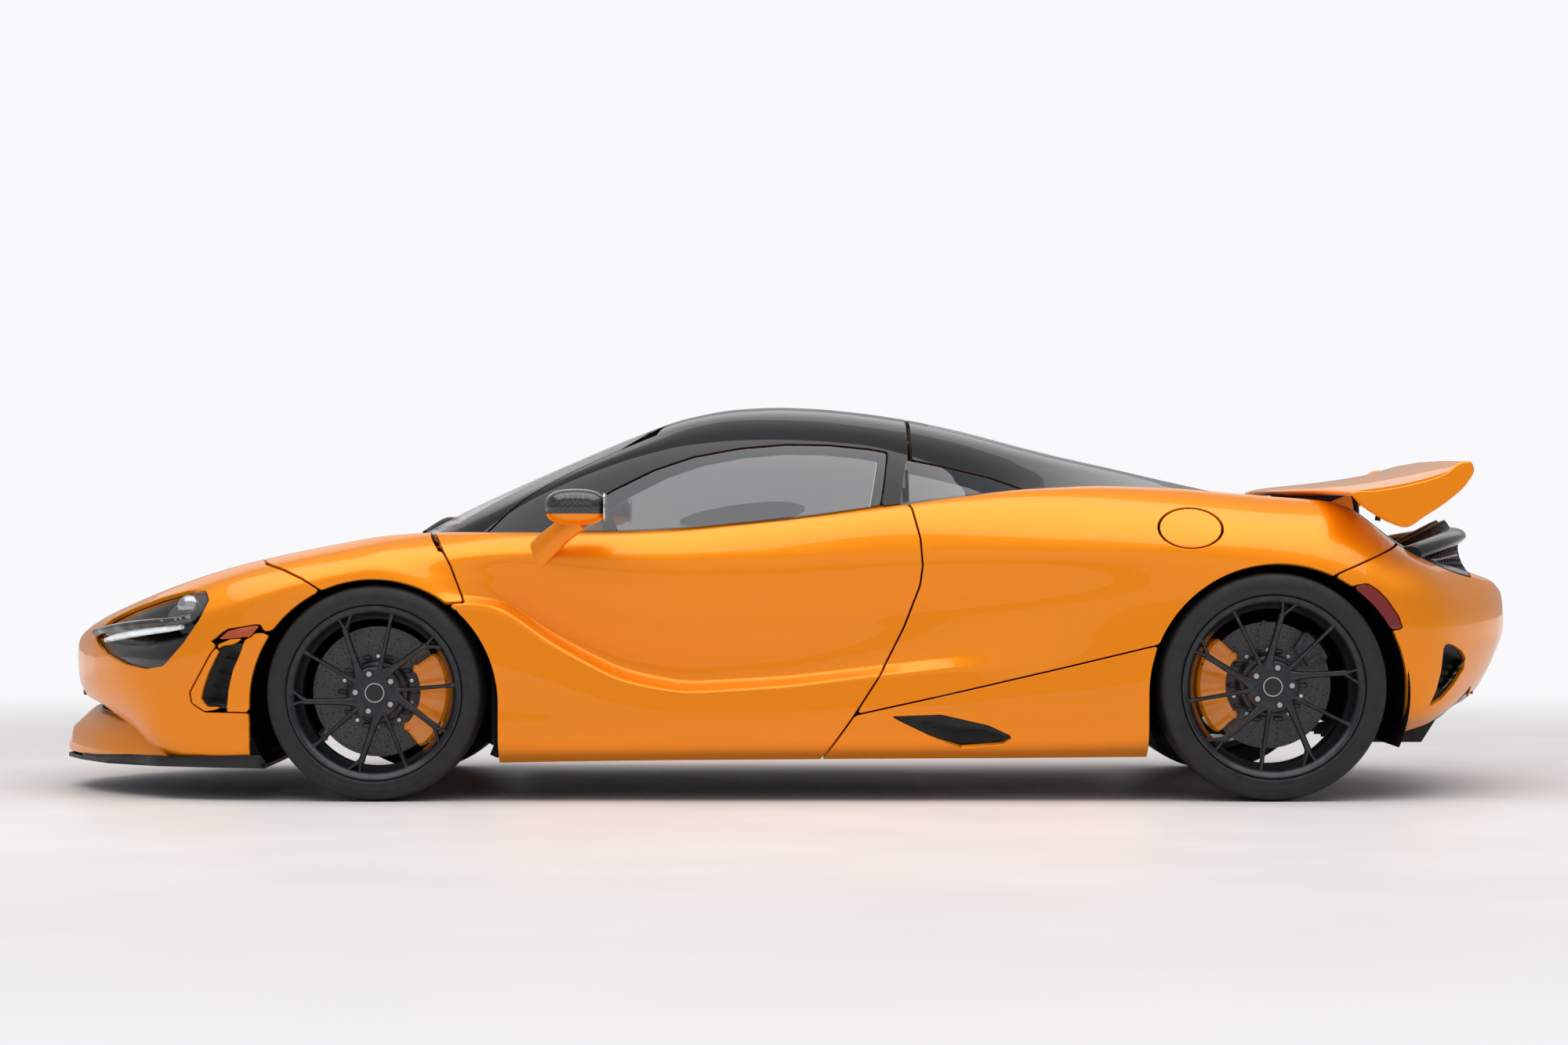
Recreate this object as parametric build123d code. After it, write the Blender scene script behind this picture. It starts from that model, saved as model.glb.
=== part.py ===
"""Mid-engined two-seat supercar with dihedral doors, an active rear wing and a front luggage lid.

Row frame, millimetres: the nose points along -X, the car's left side is -Y, +Z is up and the wheels stand on Z = 0.
The origin is on the ground under the middle of the car's box. Left parts are modelled and mirrored for the right.
Each piece is one or more closed solids, written to parts/NODE.step.
"""

import functools
import math
import os

from build123d import *

os.makedirs("parts", exist_ok=True)

# ---- driving dimensions ------------------------------------------------------------------------
FRONT_AXLE_X = -1223.5
REAR_AXLE_X = 1446.5
FRONT_TRACK = 1680.0
REAR_TRACK = 1624.0

# wall thicknesses
STEER_SWING = 32.0        # extra radius of the front wheel wells behind the skin
SIDE_WALL = 62.0          # doors, fenders, quarters and bumpers, from skin to inner face
TOP_WALL = 34.0           # lids and decks
END_WALL = 40.0           # nose and tail ends of the lower body
CANOPY_WALL = 40.0        # roof frame and door tops
GLASS = 5.0
SEAT_GAP = 0.3            # rest clearance between fixed pieces that seat on each other

# door hinge line: it lies along the windscreen pillar, from the pillar's foot to the roof header
HINGE_FOOT = Vector(-1030, -775, 772)
HINGE_HEAD = Vector(-400, -505, 1088)
PIVOT_R = 6.0             # door hinge pins
PIVOT_PLAY = 0.1         # radial running clearance of every hinge pin
PIVOT_EAR = 13.0          # outer radius of a door hinge eye

# wing hinge
WING_AXIS_X = 1560.0
WING_AXIS_Z = 862.0

# front lid hinge, at the cowl
LID_AXIS_X = -1205.0
LID_AXIS_Z = 712.0
LID_PIN_R = 6.0
LID_HINGE_Y = 300.0

# ---- body tables -------------------------------------------------------------------------------
# lower body half sections, from nose to tail: each row is one station. The columns are:
#   x, bottom (y, z), rocker (y, z), widest (y, z), crest (y, z), valley (y, z), centre z
LOWER = [
    # x      y_bot z_bot  y_rock z_rock y_wide z_wide y_crest z_crest y_val z_val z_mid
    (-2250,  150,  150,   260,   200,   300,   380,   240,    440,    120,  452,  458),
    (-2120,  480,  128,   580,   200,   600,   390,   500,    510,    260,  512,  518),
    (-1960,  650,  112,   760,   200,   775,   420,   660,    585,    330,  568,  570),
    (-1760,  740,  104,   875,   200,   880,   460,   735,    655,    400,  622,  620),
    (-1500,  800,  104,   925,   220,   940,   500,   760,    728,    450,  668,  664),
    (-1223,  830,  104,   940,   240,   958,   520,   740,    782,    480,  722,  708),
    (-1000,  850,  104,   935,   250,   948,   540,   785,    786,    560,  768,  755),
    (-700,   860,  108,   930,   270,   920,   560,   835,    778,    700,  786,  790),
    (-250,   870,  116,   938,   300,   905,   600,   850,    796,    720,  808,  812),
    (150,    875,  122,   945,   320,   915,   640,   852,    840,    700,  852,  856),
    (500,    880,  124,   950,   330,   945,   640,   835,    892,    620,  892,  896),
    (900,    880,  126,   955,   340,   962,   620,   790,    926,    520,  926,  930),
    (1250,   870,  130,   955,   340,   967,   600,   760,    920,    480,  908,  908),
    (1400,   860,  134,   950,   340,   967,   600,   748,    912,    460,  858,  856),
    (1500,   850,  140,   945,   340,   965,   600,   740,    902,    450,  836,  834),
    (1750,   800,  170,   900,   340,   945,   590,   730,    832,    430,  782,  780),
    (1950,   720,  215,   800,   330,   890,   570,   720,    735,    400,  742,  744),
    (2130,   600,  260,   680,   340,   770,   550,   640,    648,    360,  660,  664),
    (2276,   360,  420,   430,   450,   520,   540,   470,    585,    240,  592,  596),
]

# canopy half sections. The columns are: x, foot (y, z), rail (y, z), centre z
CANOPY = [
    # x      y_foot z_foot y_rail z_rail z_top
    (-1190,  560,   700,   430,   752,   790),
    (-955,   760,   700,   690,   800,   884),
    (-700,   815,   700,   610,   944,   1006),
    (-400,   830,   700,   530,   1092,  1130),
    (-160,   832,   700,   520,   1120,  1184),
    (40,     832,   700,   525,   1120,  1194),
    (370,    810,   700,   520,   1068,  1163),
    (700,    720,   740,   500,   990,   1081),
    (1000,   600,   760,   440,   930,   1010),
    (1373,   420,   780,   330,   880,   915),
]

# side outlines, (x, z) seen from the left
DOOR_LOWER = [(-1046, 830), (-957, 572), (-1050, 572), (-1050, 40), (60, 40),
              (117, 137), (192, 247), (269, 371), (344, 516), (392, 657), (399, 773), (366, 868), (366, 960), (-1046, 960)]
SIDE_WINDOW = [(-600, 806), (-541, 905), (-363, 1010), (-173, 1064), (-6, 1078), (137, 1074), (311, 1045), (283, 876),
               (-6, 840), (-242, 818)]
QUARTER_WINDOW = [(392, 1016), (700, 940), (690, 925), (430, 893), (392, 889)]
ROOF_HALF = 330.0          # half width of the fixed roof panel between the doors' tops

# wheels: axle x, track, rolling radius, tyre width, rim seat radius, arch centre dx, arch centre z, arch radius
FRONT_WHEEL = dict(x=FRONT_AXLE_X, track=FRONT_TRACK, radius=322.0, width=245.0, seat=241.3,
                   arch_dx=-2.5, arch_z=290.0, arch_r=368.0, disc_r=195.0)
REAR_WHEEL = dict(x=REAR_AXLE_X, track=REAR_TRACK, radius=340.0, width=305.0, seat=254.0,
                  arch_dx=17.5, arch_z=319.0, arch_r=385.0, disc_r=190.0)


# ---- small helpers -----------------------------------------------------------------------------
def polygon(points):
    return Wire.make_polygon([Vector(*p) for p in points], close=True)


def part_of(solid):
    return Part() + solid


def ring_loft(rings):
    """A closed solid ruled through point rings of equal count."""
    return part_of(Solid.make_loft([polygon(r) for r in rings], ruled=True))


def box(x0, x1, y0, y1, z0, z1):
    return Pos((x0 + x1) / 2, (y0 + y1) / 2, (z0 + z1) / 2) * Box(x1 - x0, y1 - y0, z1 - z0)


def side_prism(outline, y0, y1):
    """An (x, z) outline carried across the car from y0 to y1."""
    face = Face(polygon([(x, y0, z) for x, z in outline]))
    return part_of(Solid.extrude(face, Vector(0, y1 - y0, 0)))


def plan_prism(outline, z0, z1):
    """An (x, y) outline carried up from z0 to z1."""
    face = Face(polygon([(x, y, z0) for x, y in outline]))
    return part_of(Solid.extrude(face, Vector(0, 0, z1 - z0)))


def rod(a, b, radius):
    """A round bar from point a to point b."""
    a, b = Vector(*a) if isinstance(a, tuple) else a, Vector(*b) if isinstance(b, tuple) else b
    d = b - a
    return part_of(Solid.make_cylinder(radius, d.length, Plane(origin=a, z_dir=d)))


def plan_disc(x, y, radius, z0, z1):
    return part_of(Solid.make_cylinder(radius, z1 - z0, Plane(origin=(x, y, z0), z_dir=(0, 0, 1))))


def y_cylinder(x, z, radius, y0, y1):
    return part_of(Solid.make_cylinder(radius, y1 - y0, Plane(origin=(x, y0, z), z_dir=(0, 1, 0))))


def turned_y(profile, x, y, z):
    """Revolves an (axial, radial) profile about the Y line through (x, y, z)."""
    face = Face(polygon([(x, y + a, z + r) for a, r in profile]))
    return part_of(Solid.revolve(face, 360, Axis((x, y, z), (0, 1, 0))))


def mirrored(shape):
    return shape.mirror(Plane.XZ)


def save(shape, name):
    kept = [s for s in shape.solids() if s.volume > 500]
    if not kept:
        print("EMPTY", name)
        return
    export_step(Compound(children=list(kept)) if len(kept) > 1 else kept[0], f"parts/{name}.step")


# ---- body envelopes ----------------------------------------------------------------------------
def lower_ring(row, side=0.0, top=0.0):
    """The closed section at one station, drawn in by side and top."""
    x, yb, zb, yr, zr, yw, zw, yc, zc, yv, zv, zm = row
    half = [(yb - side, zb + top), (yr - side, zr), (yw - side, zw), (yc - side * 0.6, zc - top), (yv, zv - top)]
    right = [(x, y, z) for y, z in half]
    left = [(x, -y, z) for y, z in reversed(half)]
    return right + [(x, 0, zm - top)] + left


def canopy_ring(row, inset=0.0):
    x, yf, zf, yr, zr, zt = row
    y_mid, z_mid = yr * 0.55, zr + (zt - zr) * 0.74
    half = [(yf - inset, zf), (yr - inset * 0.8, zr - inset * 0.5), (y_mid - inset * 0.2, z_mid - inset)]
    right = [(x, y, z) for y, z in half]
    left = [(x, -y, z) for y, z in reversed(half)]
    return right + [(x, 0, zt - inset)] + left


def moved(row, x):
    return (x,) + tuple(row[1:])


@functools.cache
def lower_envelope(side=0.0, top=0.0, ends=0.0):
    rows = list(LOWER)
    rows[0] = moved(rows[0], rows[0][0] + ends)
    rows[-1] = moved(rows[-1], rows[-1][0] - ends)
    return ring_loft([lower_ring(r, side, top) for r in rows])


@functools.cache
def canopy_envelope(inset=0.0):
    rows = list(CANOPY)
    rows[0] = moved(rows[0], rows[0][0] + inset)
    rows[-1] = moved(rows[-1], rows[-1][0] - inset)
    return ring_loft([canopy_ring(r, inset) for r in rows])


def wheel_well(wheel, inner_y, swing=0.0):
    """Room for a wheel, wider inside by swing where it steers."""
    x, z, r = wheel["x"] + wheel["arch_dx"], wheel["arch_z"], wheel["arch_r"]
    well = y_cylinder(x, z, r, -1100, -inner_y) + box(x - r, x + r, -1100, -inner_y, -50, z)
    if not swing:
        return well
    return well + y_cylinder(x, z, r + swing, -900, -inner_y) + box(x - r - swing, x + r + swing, -900, -inner_y, -50, z)


outer = lower_envelope()
inner = lower_envelope(SIDE_WALL, TOP_WALL, END_WALL)
wells = wheel_well(FRONT_WHEEL, 520, STEER_SWING) + wheel_well(REAR_WHEEL, 600)
wells = wells + mirrored(wells)
canopy_outer = canopy_envelope()
canopy_inner = canopy_envelope(CANOPY_WALL)
shell = outer - inner - wells
top_skin = outer - lower_envelope(0, TOP_WALL, 0)
canopy = canopy_outer - canopy_inner - outer


# ---- wheels ------------------------------------------------------------------------------------
SPINDLE_R = 24.0
SPINDLE_PLAY = 0.1
DISC_T = 34.0
DISC_IN = 22.0             # disc's outboard face, inboard of the wheel's middle plane
SPOKES = 10
STEER_INSET = 80.0         # kingpin distance inboard of the front wheels' middle plane


def tyre(wheel):
    r, w, seat = wheel["radius"], wheel["width"], wheel["seat"]
    crown, shoulder = 7.0, 26.0
    profile = [(-w / 2 + 22, seat), (-w / 2 + 22, seat + 13.3), (-w / 2 + 4, seat + 15), (-w / 2, seat + 36), (-w / 2 + 6, r - shoulder),
               (-w / 2 + 26, r - crown), (-w / 2 + 60, r), (w / 2 - 60, r), (w / 2 - 26, r - crown),
               (w / 2 - 6, r - shoulder), (w / 2, seat + 36), (w / 2 - 4, seat + 15), (w / 2 - 22, seat + 13.3), (w / 2 - 22, seat)]
    return turned_y(profile, wheel["x"], -wheel["track"] / 2, r)


def rim(wheel):
    """Barrel, ten spokes and hub in one piece. Outboard is -Y."""
    x, y, z = wheel["x"], -wheel["track"] / 2, wheel["radius"]
    w, seat = wheel["width"], wheel["seat"]
    lip = -w / 2 + 8
    barrel = turned_y([(lip, seat + 13), (lip + 13, seat + 13), (lip + 14, seat), (w / 2 - 22, seat), (w / 2 - 21, seat + 13),
                       (w / 2 - 10, seat + 13), (w / 2 - 10, seat - 12), (lip + 40, seat - 20), (lip, seat - 6)], x, y, z)
    hub = turned_y([(lip + 34, SPINDLE_R + SPINDLE_PLAY), (lip + 34, 62), (lip + 50, 78), (lip + 84, 78), (lip + 84, SPINDLE_R + SPINDLE_PLAY)], x, y, z)
    cap = y_cylinder(x, z, 34, y + lip + 26, y + lip + 34)
    body = barrel + hub + cap
    for k in range(SPOKES):
        wide = k % 2 == 0
        half_in, half_out = (15, 9) if wide else (9, 5)
        root, tip = 60.0, seat - 10
        y0, y1 = y + lip + 36, y + lip + 6
        spoke = ring_loft([
            [(x + root, y0, z - half_in), (x + root, y0, z + half_in), (x + root, y0 + 34, z + half_in), (x + root, y0 + 34, z - half_in)],
            [(x + tip, y1, z - half_out), (x + tip, y1, z + half_out), (x + tip, y1 + 40, z + half_out), (x + tip, y1 + 40, z - half_out)]])
        angle = 38.5 + 72 * (k // 2) + (0 if wide else 38)
        body = body + spoke.rotate(Axis((x, y, z), (0, -1, 0)), angle)
    return body


def disc(wheel):
    x, y, z = wheel["x"], -wheel["track"] / 2, wheel["radius"]
    lip = -wheel["width"] / 2 + 8
    face = lip + 84
    bore = SPINDLE_R + SPINDLE_PLAY
    profile = [(face, bore), (face, 76), (face + 8, 92), (DISC_IN, 92), (DISC_IN, wheel["disc_r"]), (DISC_IN + DISC_T, wheel["disc_r"]),
               (DISC_IN + DISC_T, 84), (face + 14, 84), (face + 14, bore)]
    return turned_y(profile, x, y, z)


def caliper(wheel, angle):
    x, y, z = wheel["x"], -wheel["track"] / 2, wheel["radius"]
    r = wheel["disc_r"]
    a0, a1 = DISC_IN - 30, DISC_IN + DISC_T + 30
    ringy = turned_y([(a0, r - 72), (a0, r + 14), (a0 + 8, r + 22), (a1 - 8, r + 22), (a1, r + 14), (a1, r - 72)], x, y, z)
    slot = turned_y([(DISC_IN - 3, r - 90), (DISC_IN - 3, r + 4), (DISC_IN + DISC_T + 3, r + 4), (DISC_IN + DISC_T + 3, r - 90)], x, y, z)
    wedge = side_prism([(x, z), (x + 400, z - 210), (x + 400, z + 210)], y + a0 - 5, y + a1 + 5)
    return ((ringy - slot) & wedge).rotate(Axis((x, y, z), (0, -1, 0)), angle)


BALL_R = 8.0               # ball joint pins, at the top and bottom of each upright
BALL_EYE_R = 16.0
BALL_LUG = 165.0           # height of the lugs' outer faces above and below the hub
BALL_EYE_T = 24.0


def knuckle(wheel, caliper_angle, pin_y):
    """Upright with its stub axle, the caliper's bracket and two lugs with the ball joints' pins at y = pin_y."""
    x, y, z = wheel["x"], -wheel["track"] / 2, wheel["radius"]
    lip = -wheel["width"] / 2 + 8
    back = y + DISC_IN + DISC_T + 36
    body = box(x - 34, x + 34, back, back + 34, z - BALL_LUG + 15, z + BALL_LUG - 15)
    axle = y_cylinder(x, z, SPINDLE_R, y + lip + 40, back + 1)
    flange = y_cylinder(x, z, 62, back - 26, back + 1)
    arm_end = y + DISC_IN + DISC_T + 30
    bracket = box(x + 20, x + wheel["disc_r"] - 30, arm_end, back + 20, z - 40, z + 40)
    bracket = bracket.rotate(Axis((x, y, z), (0, -1, 0)), caliper_angle)
    body = body + axle + flange + bracket
    for side in (-1, 1):
        end = z + side * BALL_LUG
        low = min(end, end - side * 22)
        lug = box(x - 18, x + 18, min(pin_y - 16, back), max(pin_y + 10, back + 8), low, low + 22)
        pin = rod((x, pin_y, end - side * 22), (x, pin_y, end + side * (BALL_EYE_T + 4)), BALL_R)
        body = body + lug + pin
    return body


def wishbones(wheel, inner_y, spread, pin_y):
    """Upper and lower V arms from the frame rails out to eyes on the upright's pins."""
    x, z = wheel["x"], wheel["radius"]
    arms = Part()
    for side in (-1, 1):
        low = z + side * BALL_LUG + (1 if side > 0 else -1 - BALL_EYE_T)
        eye_z = low + BALL_EYE_T / 2
        pair = plan_disc(x, pin_y, BALL_EYE_R, low, low + BALL_EYE_T)
        for dx in (-spread, spread):
            pair = pair + rod((x, pin_y, eye_z), (x + dx, -inner_y, z + side * 150), 9)
        arms = arms + (pair - plan_disc(x, pin_y, BALL_R + PIVOT_PLAY, low - 30, low + BALL_EYE_T + 30))
    return arms


# ---- frame: tub, rails, engine, shafts ---------------------------------------------------------
RAIL_Y = 352.0
RAIL_W = 60.0
RAIL_INNER = RAIL_Y - RAIL_W / 2
FRONT_RAIL_Z0, REAR_RAIL_Z0, RAIL_Z1 = 240.0, 300.0, 420.0
NOSE_BEAM_X = -2040.0
TAIL_BEAM_X = 2060.0
BEAM_DEPTH = 60.0
FLOOR_TOP = 180.0
COWL_TOP = 640.0
SILL_Y0, SILL_Y1 = 640.0, 790.0
SHAFT_R = 20.0
JACK_X = (-640.0, 260.0)
JACK_Y = 715.0
JACK_R = 40.0
JACK_Z = 130.0
TOW_Y = 300.0
TOW_R = 9.0
TOW_HOLE_R = 15.0         # access hole in the bumper, in line with the towing eye's bore
TOW_Z = 330.0
TOW_DEPTH = 50.0
TOWER_HALF = 168.0         # half height of the suspension towers, about the hub
TOWER_LENGTH = 300.0


def tub():
    """Central floor, sills, cowl and bulkhead, with the rails, crash beams, panel brackets and jacking pads."""
    body = box(-880, 420, -SILL_Y1, SILL_Y1, 150, FLOOR_TOP)
    sill = box(-840, 400, -SILL_Y1, -SILL_Y0, 150, 400)
    for x in JACK_X:
        sill = sill + plan_disc(x, -JACK_Y, JACK_R, JACK_Z, 160)
    body = body + sill + mirrored(sill)
    body = body + box(-900, -850, -600, 600, 150, COWL_TOP) + box(-1150, -850, -560, 560, 600, COWL_TOP)
    body = body + box(-1150, -1080, -660, 660, 600, 690) + box(370, 420, -640, 640, 150, 800)
    for x0, x1, z0 in ((NOSE_BEAM_X, -850, FRONT_RAIL_Z0), (420, TAIL_BEAM_X, REAR_RAIL_Z0)):
        rail = box(x0, x1, -RAIL_Y - RAIL_W / 2, -RAIL_INNER, z0, RAIL_Z1)
        body = body + rail + mirrored(rail)
    for wheel in (FRONT_WHEEL, REAR_WHEEL):
        x, z = wheel["x"], wheel["radius"]
        tower = box(x - TOWER_LENGTH / 2, x + TOWER_LENGTH / 2, -RAIL_Y - RAIL_W / 2, -RAIL_Y, z - TOWER_HALF, z + TOWER_HALF)
        body = body + tower + mirrored(tower)
    body = body + box(NOSE_BEAM_X - BEAM_DEPTH, NOSE_BEAM_X, -520, 520, 260, 400)
    body = body + box(TAIL_BEAM_X, TAIL_BEAM_X + BEAM_DEPTH, -460, 460, REAR_RAIL_Z0, 400)
    brackets = (box(-2400, NOSE_BEAM_X - BEAM_DEPTH, -260, -180, 290, 380) + box(TAIL_BEAM_X + BEAM_DEPTH, 2400, -300, -220, 310, 380)
                + box(-1145, -1105, -1000, -655, 660, 688) + box(418, 470, -1000, -560, 500, 560) + box(380, 420, -1000, -630, 200, 250))
    brackets = (brackets & inner) - wells
    body = body + brackets + mirrored(brackets)
    body = body - y_cylinder(REAR_AXLE_X, REAR_WHEEL["radius"], SHAFT_R + 6, -700, 700)
    tow = part_of(Solid.make_cylinder(TOW_R, TOW_DEPTH, Plane(origin=(NOSE_BEAM_X - BEAM_DEPTH, -TOW_Y, TOW_Z), z_dir=(1, 0, 0))))
    return body - tow


def engine_block():
    """Engine and gearbox as one plain block on its two mounts."""
    block = box(470, 1130, -290, 290, 200, 640) + box(1130, 1760, -200, 200, 240, 430)
    return block + box(700, 780, -RAIL_INNER + SEAT_GAP, RAIL_INNER - SEAT_GAP, 320, 400)


def drive_shafts():
    z = REAR_WHEEL["radius"]
    knuckle_back = -REAR_TRACK / 2 + DISC_IN + DISC_T + 36 + 34
    return rod((REAR_AXLE_X, -200, z), (REAR_AXLE_X, knuckle_back + SEAT_GAP, z), SHAFT_R)


# ---- body panels -------------------------------------------------------------------------------
BUMPER_SIDE = [(-2400, 0), (-1400, 0), (-1400, 640), (-1440, 655), (-1570, 735), (-1620, 900), (-2400, 900)]
FENDER_SIDE = [(-1619.7, 900), (-1569.7, 735.2), (-1439.9, 655.3), (-1399.7, 640.3), (-1395, 560), (-1015, 560), (-1015, 595),
               (-966, 595), (-1056, 830), (-1056, 900)]
QUARTER_SIDE = [(74, 40), (131, 137), (206, 247), (283, 371), (358, 516), (406, 657), (411, 773), (381, 868), (381, 1000),
                (1640, 1000), (1676, 892), (1843, 752), (1847, 738.6), (1646.6, 648.6), (1600, 600), (1400, 500), (1200, 300), (1090, 40)]
TAIL_SIDE = [(1600, 0), (1600, 500), (1647, 648), (1848, 738), (2400, 640), (2400, 0)]
LID_PLAN = [(-1985, -290), (-1220, -520), (-1220, 520), (-1985, 290)]
LID_SEAM_PLAN = [(-1998, -299), (-1206, -532), (-1206, 532), (-1998, 299)]
DECK_HALF = 440.0
DECK_PLAN = [(1340, -DECK_HALF), (1900, -DECK_HALF), (1900, DECK_HALF), (1340, DECK_HALF)]
LAMP_SIDE = [(-2122, 480), (-2000, 560), (-1850, 610), (-1750, 620), (-1729, 600), (-1770, 520), (-1850, 420), (-1900, 395), (-2000, 410)]


def front_bumper(shell):
    lid = plan_prism(LID_SEAM_PLAN, 420, 1000)
    lamp = side_prism(LAMP_SIDE, -1100, -380)
    grille = box(-2400, -2000, -430, 430, 175, 300)
    vent = side_prism([(-1720, 300), (-1640, 300), (-1600, 480), (-1640, 480)], -1100, -700)
    tow_hole = rod((-2400, -TOW_Y, TOW_Z), (-2000, -TOW_Y, TOW_Z), TOW_HOLE_R)
    cuts = lid + lamp + mirrored(lamp) + grille + vent + mirrored(vent) + tow_hole
    return (shell & side_prism(BUMPER_SIDE, -1100, 1100)) - cuts - box(-1700, 0, -800, 800, 0, 400)


def lid_pins():
    """Two posts on the cowl with the lid's hinge pins."""
    post = box(LID_AXIS_X - 8, LID_AXIS_X + 60, -LID_HINGE_Y, -LID_HINGE_Y + 16, 600, LID_AXIS_Z - 60)
    post = post + box(LID_AXIS_X - 8, LID_AXIS_X + 8, -LID_HINGE_Y, -LID_HINGE_Y + 16, 600, LID_AXIS_Z)
    post = post + y_cylinder(LID_AXIS_X, LID_AXIS_Z, 8, -LID_HINGE_Y, -LID_HINGE_Y + 16)
    post = post + y_cylinder(LID_AXIS_X, LID_AXIS_Z, LID_PIN_R, -LID_HINGE_Y - 22, -LID_HINGE_Y + 1)
    return post + mirrored(post)


def luggage_lid():
    """Front lid with its two hinge eyes behind the rear edge."""
    y0, y1 = -LID_HINGE_Y - 20, -LID_HINGE_Y - 2
    arm = side_prism([(LID_AXIS_X - 12, LID_AXIS_Z), (LID_AXIS_X - 30, 695), (-1300, 690), (-1300, 650), (-1240, 650), (LID_AXIS_X + 12, LID_AXIS_Z)],
                     y0, y1)
    ear = y_cylinder(LID_AXIS_X, LID_AXIS_Z, 12, y0, y1) + arm - y_cylinder(LID_AXIS_X, LID_AXIS_Z, LID_PIN_R + PIVOT_PLAY, y0 - 5, y1 + 5)
    return (top_skin & plan_prism(LID_PLAN, 420, 1000)) + ear + mirrored(ear)


def fender(shell):
    body = shell & side_prism(FENDER_SIDE, -1100, -380)
    body = body - plan_prism(LID_SEAM_PLAN, 400, 1200) - box(-1230, -900, -660, 660, 500, 1000)
    body = body - box(-1062, -900, -925, -500, 500, 650)
    boss = hinge_rod(HINGE_FOOT, -80, -34, PIVOT_EAR) & outer
    return body - hinge_rod(HINGE_FOOT, -34, 40, PIVOT_EAR + 2) + boss - hinge_rod(HINGE_FOOT, -82, 40, PIVOT_R + PIVOT_PLAY)


def headlamp():
    skin = lower_envelope(8, 8, 8) - inner
    lamp = (skin & side_prism(LAMP_SIDE, -1100, -386)) - plan_prism(LID_SEAM_PLAN, 300, 1000)
    return lamp


def door_skin(shell):
    body = shell & side_prism(DOOR_LOWER, -1100, -640)
    body = body & plan_prism(door_side_plan(PILLAR_GAP, 500), 0, 1200)
    body = body - box(-2000, 2000, -805, 0, 0, 560)
    return body + hinge_rod(HINGE_FOOT, -76, 30, PIVOT_R)


def quarter(shell):
    body = shell & side_prism(QUARTER_SIDE, -1100, -300)
    engine_bay = plan_prism([(370, -700), (700, -690), (1000, -560), (1340, -DECK_HALF), (1340, 0), (370, 0)], 500, 1300)
    body = body - engine_bay - box(1339, 3000, -DECK_HALF - SEAT_GAP, 0, 100, 1300)
    return body - box(-2000, 3000, -795, 0, 0, 560)


def rear_bumper(shell):
    body = shell & side_prism(TAIL_SIDE, -1100, 1100)
    return body - box(1600, 2135, -DECK_HALF - SEAT_GAP, DECK_HALF + SEAT_GAP, 400, 900)


def rear_deck():
    deck = top_skin & plan_prism(DECK_PLAN, 500, 1200)
    slots = box(1530, 1795, 312, 386, 400, 1200) + box(1808, 1872, 230, 270, 400, 1200)
    return deck - slots - mirrored(slots)


# ---- rear wing: stations across the span. Columns: y, leading edge (x, z), trailing edge (x, z), thickness
WING = [
    (0,   1490, 926, 2030, 1020, 26),
    (400, 1512, 926, 2032, 1016, 26),
    (700, 1600, 922, 2036, 1010, 24),
    (860, 1668, 912, 2036, 1012, 20),
]


def wing_blade():
    rings = []
    for y, lx, lz, tx, tz, t in [(-r[0],) + r[1:] for r in reversed(WING)] + WING[1:]:
        mx, mz = lx + (tx - lx) * 0.45, lz + (tz - lz) * 0.22
        rings.append([(lx, y, lz), (mx, y, mz + 2), (tx, y, tz), (tx, y, tz - 8), (mx, y, mz - t), (lx, y, lz - 8)])
    blade = ring_loft(rings)
    tip = side_prism([(1668, 918), (1750, 862), (1833, 813), (1935, 880), (2036, 1000), (2036, 1012), (1850, 944)], -922, -859)
    return blade + tip + mirrored(tip)


def wing_arms():
    """Two hinge arms with eyes on the wing's axis, and two curved stays centred on it."""
    eye = y_cylinder(WING_AXIS_X, WING_AXIS_Z, 20, -340, -320)
    plate = side_prism([(WING_AXIS_X - 16, WING_AXIS_Z + 12), (1600, 916), (1760, 920), (WING_AXIS_X + 16, WING_AXIS_Z - 12)], -340, -320)
    arm = eye + plate - y_cylinder(WING_AXIS_X, WING_AXIS_Z, 8.1, -400, -300)
    stay = turned_y([(-8, 292), (-8, 316), (8, 316), (8, 292)], WING_AXIS_X, -250, WING_AXIS_Z)
    stay = stay & side_prism([(WING_AXIS_X, WING_AXIS_Z), (WING_AXIS_X + 500, WING_AXIS_Z + 200), (WING_AXIS_X + 500, WING_AXIS_Z - 420)], -270, -230)
    both = arm + stay
    return both + mirrored(both)


def wing_brackets():
    """Posts on the tail frame that carry the wing's pins."""
    pin = y_cylinder(WING_AXIS_X, WING_AXIS_Z, 8, -356, -306)
    post = box(WING_AXIS_X - 20, WING_AXIS_X + 20, -376, -345, REAR_WHEEL["radius"] + TOWER_HALF, WING_AXIS_Z + 14)
    both = post + pin
    return both + mirrored(both)


# ---- canopy ------------------------------------------------------------------------------------
SCREEN_PLAN = [(-1176, -380), (-1060, -520), (-960, -585), (-430, -425), (-430, 425), (-960, 585), (-1060, 520), (-1176, 380)]
REAR_GLASS_PLAN = [(430, -380), (1040, -250), (1040, 250), (430, 380)]
ROOF_REAR = 378.0
PILLAR_GAP = 8.0           # half of the gap between the door's frame and the screen pillar


def hinge_y(x):
    """The hinge line's y at a station, left side."""
    share = (x - HINGE_FOOT.X) / (HINGE_HEAD.X - HINGE_FOOT.X)
    return HINGE_FOOT.Y + (HINGE_HEAD.Y - HINGE_FOOT.Y) * share


def door_side_plan(gap, end_x):
    """Plan region that the left door fills: outboard of the pillar, then out from the roof panel."""
    x0, x1 = -1120.0, HINGE_HEAD.X
    return [(x0, -1200), (x0, hinge_y(x0) - gap), (x1, hinge_y(x1) - gap), (-362 + gap, -ROOF_HALF - gap), (end_x, -ROOF_HALF - gap), (end_x, -1200)]


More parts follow.
